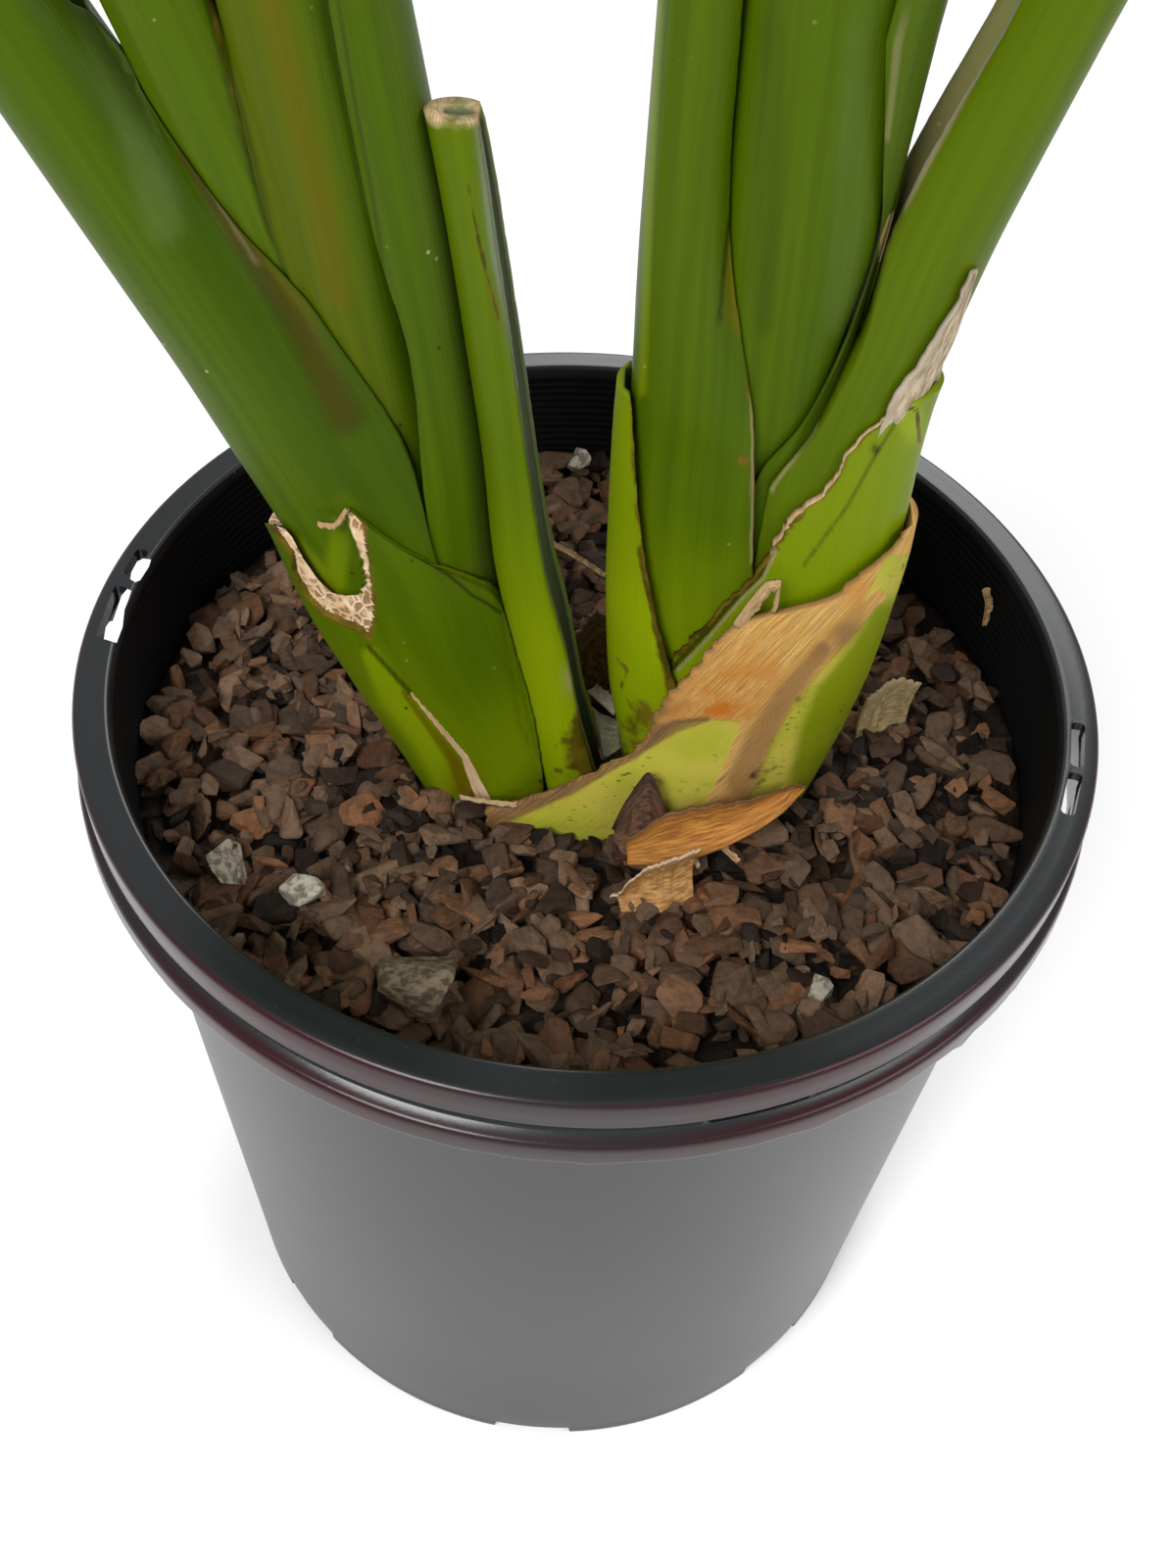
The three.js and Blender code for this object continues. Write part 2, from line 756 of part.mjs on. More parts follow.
function makeMulch() {
  const inner = (z) => bodyRadius(z) - WALL - 0.4;
  const topRings = [117.5, 102, 84, 62, 36, 0];
  const profile = [
    [0, FLOOR_Z + CLEAR],
    [bodyRadius(FLOOR_Z) - WALL - 4, FLOOR_Z + CLEAR],
    [inner(FLOOR_Z + 4), FLOOR_Z + 4],
    [inner(217), 217],
    ...topRings.map((r) => [r, SOIL_Z]),
  ].map(([r, z]) => new THREE.Vector2(r, z));
  const disc = new THREE.LatheGeometry(profile, POT_SIDES).rotateX(Math.PI / 2);
  const at = disc.getAttribute("position");
  for (let i = 0; i < at.count; i += 1) {
    if (at.getZ(i) > SOIL_Z - 1) at.setZ(i, mulchHeight(at.getX(i), at.getY(i)));
  }
  const random = randomFrom(7);
  const chips = [];
  for (let i = 0; i < CHIPS; i += 1) {
    const radius = 102 * Math.sqrt((i + 0.5) / CHIPS);
    const angle = i * 2.39996;
    const chip = new THREE.OctahedronGeometry(1);
    const size = lerp(11, 16, random());
    chip.scale(size, size * lerp(0.45, 0.8, random()), lerp(3, 4.6, random()));
    chip.rotateX(lerp(-0.5, 0.5, random())).rotateY(lerp(-0.5, 0.5, random()));
    chip.rotateZ(random() * Math.PI);
    const [x, y] = [radius * Math.cos(angle), radius * Math.sin(angle)];
    chip.translate(x, y, mulchHeight(x, y) + lerp(-0.6, 1, random()));
    chips.push(solid(chip));
  }
  return wasm.Manifold.union([solid(disc), ...chips]);
}

// A thin curled scrap: a bent strip between two lines of points, with its own thickness
function strip(lower, upper, thickness) {
  const rings = lower.map((low, i) => {
    const [a, b] = [vec(...low), vec(...upper[i])];
    const next = vec(...lower[Math.min(i + 1, lower.length - 1)]);
    const last = vec(...lower[Math.max(i - 1, 0)]);
    const off = next.sub(last).cross(b.clone().sub(a)).normalize().multiplyScalar(thickness);
    return [a, b, b.clone().add(off), a.clone().add(off)];
  });
  const square = [
    [0, 0],
    [1, 0],
    [1, 1],
    [0, 1],
  ];
  return loft(rings, square, square);
}

const SCRAPS = {
  bud_scale: {
    color: 0x5a4636,
    thickness: 2.2,
    lower: [
      [8, -39.5, 217],
      [13, -42, 216],
      [19, -42.2, 216],
      [24, -39.5, 217],
    ],
    upper: [
      [12.5, -38, 233],
      [14, -39.2, 239],
      [16, -39.4, 240],
      [18.5, -38.4, 234],
    ],
  },
  dried_curl_large: {
    color: 0xa8722e,
    thickness: 1.1,
    lower: [
      [13, -47, 217],
      [22, -47.5, 216],
      [32, -45.5, 216],
      [41, -42, 216.5],
      [50, -37.5, 217],
      [58, -31.5, 218],
    ],
    upper: [
      [11.9, -44, 228.7],
      [20.8, -42, 237.9],
      [30.1, -40, 240.6],
      [38.6, -37.5, 239.7],
      [47.9, -34, 240.2],
      [56.2, -30, 239],
    ],
  },
  dried_curl_small: {
    color: 0xa8722e,
    thickness: 1.1,
    lower: [
      [12, -58, 217],
      [20, -58.5, 216],
      [30, -54, 217],
    ],
    upper: [
      [11, -57, 221.5],
      [21, -54, 230],
      [29, -50.5, 231],
    ],
  },
  tan_scrap: {
    color: 0xb9a27a,
    thickness: 1.2,
    lower: [
      [74, -2, 217],
      [80, 3, 217],
      [88, 8, 218],
    ],
    upper: [
      [76, 8, 232],
      [83, 12, 236],
      [91, 15, 233],
    ],
  },
  dead_sheath: {
    color: 0x4a3222,
    thickness: 1.4,
    lower: [
      [-4, 8, 216],
      [2, 12, 216],
      [9, 12, 217],
    ],
    upper: [
      [-5, 10, 247],
      [1, 15, 252],
      [7, 16, 243],
    ],
  },
};

// Assembly
const GREEN = 0x5f8210;
const PALE_GREEN = 0x86a02a;
const TAN = 0xb28a4e;

add("pot", makePot(), 0x26292b, 0.42);
add("rhizome", makeRhizome(), 0xb9a27a, 0.8);

const made = {};
Object.keys(STALKS).forEach((name) => {
  let stalk = makeStalk(name);
  if (name === "old_sheath_left") stalk = stalk.subtract(scoop());
  if (name === "spear_sheath") stalk = stalk.add(spear());
  STALKS[name].inner.forEach((other) => {
    stalk = stalk.subtract(grownStalk(other, CLEAR));
  });
  made[name] = largest(stalk);
});
Object.entries(made).forEach(([name, stalk]) => {
  const color = { old_sheath_right: TAN, short_sheath: PALE_GREEN, cut_stalk: PALE_GREEN }[name] ?? GREEN;
  add(name, stalk, color, 0.5);
});

let mulch = makeMulch().subtract(makeRhizome(CLEAR));
Object.keys(STALKS).forEach((name) => {
  mulch = mulch.subtract(grownStalk(name, CLEAR));
});
Object.entries(SCRAPS).forEach(([name, scrap]) => {
  add(name, strip(scrap.lower, scrap.upper, scrap.thickness), scrap.color, 0.8);
  mulch = mulch.subtract(strip(scrap.lower, scrap.upper, scrap.thickness));
});
add("potting_mix", largest(mulch), 0x3d2d25, 0.95);

export default group;
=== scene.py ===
"""Looks of a potted bird of paradise: two fans of clasping leaf stalks in a nursery pot of bark mulch.

Shapes are worked out in millimetres in the frame's own axes and made in metres. The leaf fans lie in
planes along X; a stalk is a stack of level rings up to the top of the nest, and rings along a path above.
"""

import functools
import math

import bmesh
import bpy
import numpy as np
from mathutils import Matrix, Vector, noise


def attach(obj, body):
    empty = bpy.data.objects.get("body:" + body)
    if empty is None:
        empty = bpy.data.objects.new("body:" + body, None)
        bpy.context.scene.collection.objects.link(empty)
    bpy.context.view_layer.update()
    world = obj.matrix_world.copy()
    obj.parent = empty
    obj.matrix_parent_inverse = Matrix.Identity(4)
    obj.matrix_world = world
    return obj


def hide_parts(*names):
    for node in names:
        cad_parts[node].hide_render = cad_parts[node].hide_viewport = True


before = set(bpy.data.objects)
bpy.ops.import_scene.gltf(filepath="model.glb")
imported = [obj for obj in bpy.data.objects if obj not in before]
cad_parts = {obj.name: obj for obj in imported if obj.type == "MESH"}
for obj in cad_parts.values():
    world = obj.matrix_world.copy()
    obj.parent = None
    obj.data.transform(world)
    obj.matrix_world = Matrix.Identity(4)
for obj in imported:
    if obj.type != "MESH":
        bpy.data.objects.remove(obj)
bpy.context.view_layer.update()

MM = 0.001
IMAGE_W, IMAGE_H = 1200, 1600

# Photograph's camera: focal length and principal point in pixels, angles in degrees, distance in mm
FOCAL_PX = 1690.0
CENTRE_PX = (603.0, 662.0)
CAMERA_ELEVATION = 45.8
CAMERA_ROLL = 3.9
CAMERA_DISTANCE = 432.0
SENSOR = 36.0

# Pot, in mm
POT_HEIGHT = 252.0
FOOT_R = 109.5
BODY_TOP_R = 122.9
COLLAR_Z = 229.0
RIM_INNER_R = 122.4
WALL = 2.4
NOTCHES = 8
NOTCH_STEP = 360 / NOTCHES
NOTCH_AZIMUTH = -91.0
NOTCH_DEG = 12.5
NOTCH_HEIGHT = 5.0
SOIL_Z = 223.0

# Nest of stalks, in mm
NEST_LOW_Z = 208.0
NEST_TOP_Z = 430.0
NEST_STEP = 2.0
GAP = 0.35
LEFT_Y = -12.0
STUB_Y = -17.0
RIGHT_Y = -9.0
LAMINA = 1.0


def rng(seed):
    return np.random.default_rng(seed)


def smoothstep(low, high, x):
    t = np.clip((np.asarray(x, float) - low) / (high - low), 0, 1)
    return t * t * (3 - 2 * t)


def bump(centre, width, x):
    """A smooth hump of height 1 round a centre."""
    return np.exp(-(((np.asarray(x, float) - centre) / width) ** 2))


def wobble(x, seed, scale=1.0):
    """Smooth noise along a line, from -1 to 1."""
    values = [noise.noise(Vector((float(v) / scale, seed * 7.31, seed * 1.7))) for v in np.ravel(x)]
    return np.array(values).reshape(np.shape(x)) * 1.6


def lerp(a, b, t):
    return a + (b - a) * t


# Pixels of the photograph

def camera_axes():
    elevation, roll = math.radians(CAMERA_ELEVATION), math.radians(CAMERA_ROLL)
    forward = np.array([0, math.cos(elevation), -math.sin(elevation)])
    upward = np.array([0, math.sin(elevation), math.cos(elevation)])
    rightward = np.array([1.0, 0, 0])
    right = rightward * math.cos(roll) + upward * math.sin(roll)
    up = upward * math.cos(roll) - rightward * math.sin(roll)
    return right, up, forward


RIGHT, UP, FORWARD = camera_axes()
EYE = np.array([0, 0, POT_HEIGHT]) - FORWARD * CAMERA_DISTANCE


def to_pixels(points):
    """Where the photograph shows points given in mm."""
    offset = np.asarray(points, float) - EYE
    deep = offset @ FORWARD
    x = CENTRE_PX[0] + FOCAL_PX * (offset @ RIGHT) / deep
    return np.stack([x, CENTRE_PX[1] - FOCAL_PX * (offset @ UP) / deep], -1)


def sight_rays(pixels):
    """Directions in which the photograph's camera sees these pixels."""
    across, down = (np.asarray(pixels, float) - CENTRE_PX).T / FOCAL_PX
    return FORWARD + np.outer(across, RIGHT) - np.outer(down, UP)


def from_pixels(pixels, y):
    """Points in mm at a given y that the photograph shows at these pixels."""
    rays = sight_rays(pixels)
    return EYE + rays * ((y - EYE[1]) / rays[:, 1])[:, None]


def at_height(pixels, z):
    """Points in mm at a given height that the photograph shows at these pixels."""
    rays = sight_rays(pixels)
    return EYE + rays * ((z - EYE[2]) / rays[:, 2])[:, None]


def stroke(pixels, line, width):
    """Cover of a brush stroke along a line of pixels: 1 on it, none past its width, one width or many."""
    line = np.asarray(line, float)
    widths = np.broadcast_to(np.asarray(width, float), len(line))
    cover = np.zeros(len(pixels))
    for a, b, from_width, to_width in zip(line[:-1], line[1:], widths[:-1], widths[1:]):
        along = b - a
        t = np.clip((pixels - a) @ along / (along @ along), 0, 1)
        distance = np.linalg.norm(pixels - a - t[:, None] * along, axis=1)
        cover = np.maximum(cover, smoothstep(1.3, 0.4, distance / lerp(from_width, to_width, t)))
    return cover


def blob(pixels, centre, radii):
    return np.exp(-(((pixels - np.array(centre)) / np.array(radii)) ** 2).sum(1))


def above(pixels, line):
    """How far points are above a line of pixels that runs to the right."""
    x, y = np.asarray(line, float).T
    return np.interp(pixels[:, 0], x, y) - pixels[:, 1]


def right_of(pixels, line):
    """How far points are to the right of a line of pixels that runs down."""
    x, y = np.asarray(line, float).T
    return pixels[:, 0] - np.interp(pixels[:, 1], y, x)


# Materials

def new_material(name):
    material = bpy.data.materials.new(name)
    material.use_nodes = True
    tree = material.node_tree
    tree.nodes.clear()
    out = tree.nodes.new("ShaderNodeOutputMaterial")
    shader = tree.nodes.new("ShaderNodeBsdfPrincipled")
    tree.links.new(shader.outputs["BSDF"], out.inputs["Surface"])
    return material, Nodes(tree, shader)


class Nodes:
    """Short forms for the shader nodes that the materials use."""

    def __init__(self, tree, shader):
        self.tree = tree
        self.shader = shader

    def put(self, socket, value):
        if isinstance(value, bpy.types.NodeSocket):
            self.tree.links.new(value, socket)
        elif isinstance(value, tuple) and len(value) == 3 and len(socket.default_value) == 4:
            socket.default_value = (*value, 1.0)
        else:
            socket.default_value = value

    def surface(self, colour, roughness, specular=None, normal=None):
        """Set the shader's colour and gloss. None leaves a socket at its default."""
        keys = ("Base Color", "Roughness", "Specular IOR Level", "Normal")
        for key, value in zip(keys, (colour, roughness, specular, normal)):
            if value is not None:
                self.put(self.shader.inputs[key], value)

    def attribute(self, name):
        node = self.tree.nodes.new("ShaderNodeAttribute")
        node.attribute_name = name
        return node.outputs["Fac"]

    def position(self, scale=(1.0, 1.0, 1.0)):
        coordinates = self.tree.nodes.new("ShaderNodeTexCoord")
        mapping = self.tree.nodes.new("ShaderNodeMapping")
        mapping.inputs["Scale"].default_value = scale
        self.tree.links.new(coordinates.outputs["Object"], mapping.inputs["Vector"])
        return mapping.outputs["Vector"]

    def combine(self, x, y, z):
        node = self.tree.nodes.new("ShaderNodeCombineXYZ")
        for socket, value in zip(node.inputs, (x, y, z)):
            self.put(socket, value)
        return node.outputs[0]

    def math(self, operation, a, b=0.0, clamp=False):
        node = self.tree.nodes.new("ShaderNodeMath")
        node.operation = operation
        node.use_clamp = clamp
        self.put(node.inputs[0], a)
        if operation != "SINE":
            self.put(node.inputs[1], b)
        return node.outputs[0]

    def times(self, a, b, clamp=False):
        return self.math("MULTIPLY", a, b, clamp)

    def plus(self, a, b):
        return self.math("ADD", a, b)

    def minus(self, a, b):
        return self.math("SUBTRACT", a, b)

    def frayed(self, mask, grain, amount):
        """A mask with its edge broken up by noise."""
        return self.plus(mask, self.times(self.minus(grain, 0.5), amount))

    def strands(self, scales, offset, detail, roughness=0.55):
        """Noise drawn out along a leaf, scaled across its fibres and along them."""
        around = self.times(self.attribute("around"), scales[0])
        along = self.times(self.attribute("along"), scales[1])
        return self.noise(self.combine(around, along, offset), 1.0, detail, roughness)

    def toned(self, colour, tone):
        return self.mix(1.0, colour, tone, "MULTIPLY")

    def noise(self, vector, scale, detail=3.0, roughness=0.55):
        node = self.tree.nodes.new("ShaderNodeTexNoise")
        self.tree.links.new(vector, node.inputs["Vector"])
        node.inputs["Scale"].default_value = scale
        node.inputs["Detail"].default_value = detail
        node.inputs["Roughness"].default_value = roughness
        return node.outputs["Fac"]

    def cells(self, vector, scale, feature="F1"):
        node = self.tree.nodes.new("ShaderNodeTexVoronoi")
        node.feature = feature
        self.tree.links.new(vector, node.inputs["Vector"])
        node.inputs["Scale"].default_value = scale
        return node.outputs["Distance"]

    def ramp(self, value, low, high, a=0.0, b=1.0):
        node = self.tree.nodes.new("ShaderNodeMapRange")
        node.interpolation_type = "SMOOTHSTEP"
        for key, number in (("From Min", low), ("From Max", high), ("To Min", a), ("To Max", b)):
            node.inputs[key].default_value = number
        self.put(node.inputs["Value"], value)
        return node.outputs["Result"]

    def mix(self, factor, a, b, blend="MIX"):
        node = self.tree.nodes.new("ShaderNodeMix")
        node.data_type = "RGBA"
        node.blend_type = blend
        self.put(node.inputs["Factor"], factor)
        self.put(node.inputs[6], a)
        self.put(node.inputs[7], b)
        return node.outputs[2]

    def bump(self, height, strength, distance):
        node = self.tree.nodes.new("ShaderNodeBump")
        node.inputs["Strength"].default_value = strength
        node.inputs["Distance"].default_value = distance
        self.put(node.inputs["Height"], height)
        return node.outputs["Normal"]


LEAF_MASKS = ("tint_and_lighting", "gold", "bloom_and_sheen", "brown", "dry", "dark", "scar", "blade", "across")


def leaf_material():
    """Living leaf: greens by tint with painted highlights and shade, waxy bloom with painted sheen, painted
    shade in the nest, bruises, dry edges, lengthwise fibres and blade veins.
    """
    material, n = new_material("living_leaf")
    mask = {key: n.attribute(key) for key in LEAF_MASKS}
    place = n.position()
    fibre = n.strands((1.6, 0.03), 0.0, 4.0, 0.6)
    streak = n.strands((0.35, 0.008), 5.0, 3.0)
    patches = n.noise(place, 150.0, 4.0, 0.65)
    green = n.mix(n.ramp(streak, 0.3, 0.7), (0.046, 0.08, 0.0002), (0.058, 0.098, 0.0003))
    # The tint mask is partly the leaf's own paler and darker greens and partly painted light: lit edges and
    # highlight stripes paler, sides turned from the light in painted shade
    bright = n.mix(n.ramp(mask["tint_and_lighting"], 0.0, 1.0), green, (0.2, 0.27, 0.0015))
    deep = n.mix(n.ramp(mask["tint_and_lighting"], 0.0, -1.0), bright, (0.018, 0.042, 0.0003))
    golden = n.mix(n.times(mask["gold"], 0.8, True), deep, (0.1, 0.078, 0.0005))
    fibred = n.mix(n.ramp(fibre, 0.25, 0.75, 0.0, 0.22), golden, n.toned(golden, (0.68, 0.7, 0.6)))
    # The bloom mask is partly real waxy bloom and partly a painted sheen and painted highlights along rounded
    # edges
    broken = n.times(mask["bloom_and_sheen"], n.ramp(n.noise(place, 45.0, 4.0), 0.3, 0.7, 0.6, 1.0), True)
    haze = n.mix(n.ramp(mask["bloom_and_sheen"], 0.7, 1.3), (0.085, 0.12, 0.028), (0.125, 0.15, 0.08))
    waxy_and_sheen = n.mix(broken, fibred, haze)
    # Painted shade: inner faces down in the nest and lines along edges where a stalk turns under its
    # neighbour, with slightly darker margins
    shaded = n.mix(n.times(mask["dark"], 0.85, True), waxy_and_sheen, (0.016, 0.018, 0.001))
    slant = n.plus(n.times(n.attribute("along"), 1.9), n.times(mask["across"], -0.9))
    vein = n.math("SINE", n.plus(slant, n.times(patches, 2.0)))
    veins = n.times(mask["blade"], n.ramp(vein, 0.2, 1.0, 0.0, 0.35), True)
    veined = n.mix(veins, shaded, (0.1, 0.16, 0.02))
    rib = n.times(mask["blade"], n.ramp(mask["across"], 6.0, 3.0), True)
    ribbed = n.mix(n.times(rib, 0.75), veined, (0.2, 0.26, 0.035))
    eaten = n.frayed(mask["brown"], patches, 1.3)
    stain = n.mix(n.ramp(n.noise(place, 90.0, 3.0), 0.35, 0.65), (0.04, 0.022, 0.003), (0.13, 0.08, 0.008))
    bruised = n.mix(n.ramp(eaten, 0.35, 0.75, 0.0, 0.9), ribbed, stain)
    torn = n.frayed(mask["dry"], patches, 0.6)
    straw = n.mix(n.ramp(fibre, 0.3, 0.7), (0.33, 0.2, 0.09), (0.6, 0.44, 0.27))
    scar = n.times(mask["scar"], n.ramp(fibre, 0.2, 0.8, 0.7, 1.0), True)
    scarred = n.mix(scar, bruised, (0.26, 0.215, 0.11))
    dried = n.mix(n.ramp(torn, 0.4, 0.65), scarred, straw)
    fleck_patches = n.ramp(n.noise(place, 35.0, 2.0), 0.56, 0.66)
    pale_fleck = n.times(n.ramp(n.cells(place, 160.0), 0.1, 0.05), fleck_patches)
    flecked = n.mix(n.times(pale_fleck, 0.6), dried, (0.42, 0.4, 0.2))
    dots = n.times(n.ramp(n.cells(n.position((1.0, 1.0, 0.8)), 118.0), 0.075, 0.04), 0.8)
    dot_patches = n.ramp(n.noise(place, 22.0, 2.0), 0.5, 0.6)
    dotted = n.mix(n.times(dots, dot_patches), flecked, (0.02, 0.018, 0.004))
    dullness = n.plus(n.ramp(torn, 0.3, 0.7, 0.4, 0.8), n.times(broken, 0.15))
    furrows = n.times(n.times(vein, mask["blade"]), 0.5)
    n.surface(dotted, dullness, 0.07, n.bump(n.plus(fibre, furrows), 0.3, 0.0004))
    return material


def flesh_material():
    """Cut face of a leaf base: pale dry tissue with rows of air cells."""
    material, n = new_material("cut_flesh")
    place = n.position()
    stretched = n.position((1.0, 1.0, 0.62))
    walls = n.ramp(n.cells(stretched, 430.0, "DISTANCE_TO_EDGE"), 0.05, 0.17)
    deep = n.times(walls, n.ramp(n.noise(place, 150.0, 2.0), 0.42, 0.56), True)
    pale = n.mix(n.ramp(n.noise(place, 260.0), 0.35, 0.65), (0.72, 0.56, 0.38), (0.55, 0.37, 0.2))
    celled = n.mix(n.times(deep, 0.85), pale, (0.21, 0.105, 0.035))
    n.surface(celled, 0.8, 0.2, n.bump(n.minus(n.noise(place, 500.0), deep), 0.6, 0.0007))
    return material


STRAW_MASKS = ("brown", "green", "keel", "orange", "dark")


def straw_material():
    """Dried leaf base: tan and orange fibres, bruised brown and purple in bands, still green low down, dark
    rot in patches and painted shade on its inner face.
    """
    material, n = new_material("dried_sheath")
    mask = {key: n.attribute(key) for key in STRAW_MASKS}
    place = n.position()
    fibre = n.strands((2.4, 0.1), 0.0, 5.0, 0.65)
    broad = n.strands((0.5, 0.04), 3.0, 3.0)
    patches = n.noise(place, 120.0, 4.0, 0.65)
    lines = n.mix(n.ramp(fibre, 0.3, 0.62), (0.25, 0.125, 0.03), (0.6, 0.375, 0.12))
    tan = n.mix(n.ramp(broad, 0.42, 0.7, 0.0, 0.6), lines, (0.46, 0.235, 0.04))
    orange = n.times(mask["orange"], n.ramp(patches, 0.3, 0.6), True)
    stained = n.mix(orange, tan, (0.42, 0.13, 0.012))
    living = n.mix(n.ramp(n.noise(place, 70.0), 0.35, 0.65), (0.4, 0.345, 0.05), (0.32, 0.325, 0.028))
    keeled = n.mix(n.times(mask["keel"], 0.95, True), living, (0.15, 0.19, 0.002))
    dash = n.noise(n.position((1.0, 1.0, 2.6)), 420.0, 2.0)
    dashes = n.times(n.ramp(dash, 0.62, 0.68), n.ramp(n.noise(place, 55.0, 2.0), 0.42, 0.6), True)
    dashed = n.mix(n.times(dashes, 0.85), keeled, (0.07, 0.045, 0.012))
    kept = n.frayed(mask["green"], patches, 0.5)
    mixed = n.mix(n.ramp(kept, 0.35, 0.65), stained, dashed)
    eaten = n.frayed(mask["brown"], fibre, 1.5)
    plum = n.mix(n.ramp(fibre, 0.35, 0.65), (0.085, 0.042, 0.03), (0.23, 0.115, 0.04))
    bruised = n.mix(n.ramp(eaten, 0.22, 0.95, 0.0, 0.92), mixed, plum)
    # The dark mask here is dark rot on the front and painted shade on the inner face
    rot_and_shade = n.frayed(mask["dark"], patches, 1.6)
    rotten_and_shaded = n.mix(n.ramp(rot_and_shade, 0.4, 0.8), bruised, (0.022, 0.012, 0.008))
    relief = n.times(fibre, n.ramp(kept, 0.3, 0.7, 1.0, 0.25))
    n.surface(rotten_and_shaded, n.ramp(kept, 0.3, 0.7, 0.8, 0.42), 0.1, n.bump(relief, 0.6, 0.0008))
    return material


def pot_material():
    """Moulded black plastic: glossy grey body, darker rim, dull inside, painted reddish reflection on the
    beads.
    """
    material, n = new_material("pot_plastic")
    place = n.position()
    fine = n.noise(place, 900.0, 2.0)
    cloud = n.noise(place, 14.0, 4.0)
    body, inside, bead_reflection = n.attribute("body"), n.attribute("inside"), n.attribute("bead_reflection")
    black = n.mix(n.ramp(cloud, 0.3, 0.7), (0.0085, 0.0105, 0.0115), (0.012, 0.014, 0.0155))
    grey = n.mix(n.ramp(cloud, 0.3, 0.7), (0.008, 0.0085, 0.008), (0.013, 0.0135, 0.013))
    # Painted reflection: a reddish reflection is painted into the colour of the beads
    rosy = n.mix(bead_reflection, n.mix(body, black, grey), (0.026, 0.005, 0.007))
    worn = n.mix(n.ramp(n.cells(place, 260.0), 0.05, 0.0), rosy, (0.09, 0.09, 0.09))
    colour = n.mix(inside, worn, (0.0022, 0.0022, 0.0022))
    dullness = n.mix(inside, n.ramp(body, 0.0, 1.0, 0.22, 0.36), (0.6, 0.6, 0.6))
    side_gloss = n.mix(n.ramp(body, 0.2, 0.5), (0.42, 0.42, 0.42), n.ramp(body, 0.62, 1.0, 0.24, 0.44))
    gloss = n.mix(bead_reflection, side_gloss, (0.2, 0.2, 0.2))
    n.surface(colour, dullness, n.mix(inside, gloss, (0.12, 0.12, 0.12)), n.bump(fine, 0.06, 0.0003))
    return material


def bark_material(name, stone=False):
    """Bark chips: each chip has its own tone; stones are paler and greyer."""
    material, n = new_material(name)
    tone, red = n.attribute("tone"), n.attribute("red")
    place = n.position()
    grain = n.noise(n.position((1.0, 1.0, 2.2)), 380.0, 5.0, 0.62)
    broad = n.noise(place, 130.0, 3.0)
    if stone:
        dull = n.mix(tone, (0.12, 0.088, 0.048), (0.5, 0.47, 0.4))
        base = n.mix(n.ramp(grain, 0.4, 0.6), dull, n.toned(dull, (0.4, 0.36, 0.3)))
    else:
        dull = n.mix(tone, (0.008, 0.005, 0.0036), (0.18, 0.108, 0.064))
        warm = n.mix(red, dull, n.toned(dull, (1.15, 0.82, 0.6)))
        grey = n.mix(n.ramp(broad, 0.55, 0.75, 0.0, 0.25), warm, (0.1, 0.075, 0.055))
        base = n.mix(n.ramp(grain, 0.35, 0.7, 0.0, 0.65), grey, n.toned(grey, (0.42, 0.4, 0.4)))
    n.surface(base, n.ramp(broad, 0.3, 0.7, 0.55, 0.85), 0.15, n.bump(grain, 0.7, 0.0012))
    return material


def plain_material(name, low, high, rim_tone=(0.36, 0.3, 0.23)):
    """A dry scrap's two tones in streaks along it."""
    material, n = new_material(name)
    streaks = n.noise(n.combine(n.attribute("around"), n.attribute("along"), 0.0), 160.0, 4.0, 0.6)
    base = n.mix(n.ramp(streaks, 0.32, 0.68), low, high)
    rimmed = n.mix(n.times(n.attribute("rim"), 0.8, True), base, rim_tone)
    n.surface(rimmed, 0.7, 0.25, n.bump(streaks, 0.5, 0.0006))
    return material


def root_material():
    material, n = new_material("root")
    patches = n.ramp(n.noise(n.position(), 80.0), 0.3, 0.7)
    n.surface(n.mix(patches, (0.5, 0.38, 0.22), (0.32, 0.2, 0.1)), 0.8)
    return material


# Meshes

def make_object(name, points, faces, materials, nodes=(), smooth=True, attributes=None, split=None):
    """A mesh object from points in mm, riding on the root body."""
    mesh = bpy.data.meshes.new(name)
    mesh.from_pydata((np.asarray(points, float) * MM).tolist(), [], [list(map(int, f)) for f in faces])
    mesh.validate()
    mesh.update()
    mesh.polygons.foreach_set("use_smooth", [smooth] * len(mesh.polygons))
    for key, values in (attributes or {}).items():
        data = mesh.attributes.new(key, "FLOAT", "POINT").data
        data.foreach_set("value", np.ascontiguousarray(values, np.float32))
    for material in materials:
        mesh.materials.append(material)
    thing = bpy.data.objects.new(name, mesh)
    bpy.context.scene.collection.objects.link(thing)
    clean = bmesh.new()
    clean.from_mesh(mesh)
    bmesh.ops.recalc_face_normals(clean, faces=clean.faces)
    clean.to_mesh(mesh)
    clean.free()
    if split is not None:
        mesh.set_sharp_from_angle(angle=math.radians(split))
    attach(thing, "root")
    if nodes:
        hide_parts(*nodes)
    return thing


def grid_faces(rows, columns, around=True, first=0):
    """Quads between rows of points, round closed rows or along open ones."""
    r = np.arange(rows - 1)[:, None]
    c = np.arange(columns if around else columns - 1)[None, :]
    a = first + r * columns + c
    b = first + r * columns + (c + 1) % columns
    return np.stack([a, b, b + columns, a + columns], -1).reshape(-1, 4)


def tube_faces(rows, columns):
    """Quads between closed rows of points, and a face over each end."""
    ends = [list(range(columns)), list(range((rows - 1) * columns, rows * columns))]
    return grid_faces(rows, columns).tolist() + ends


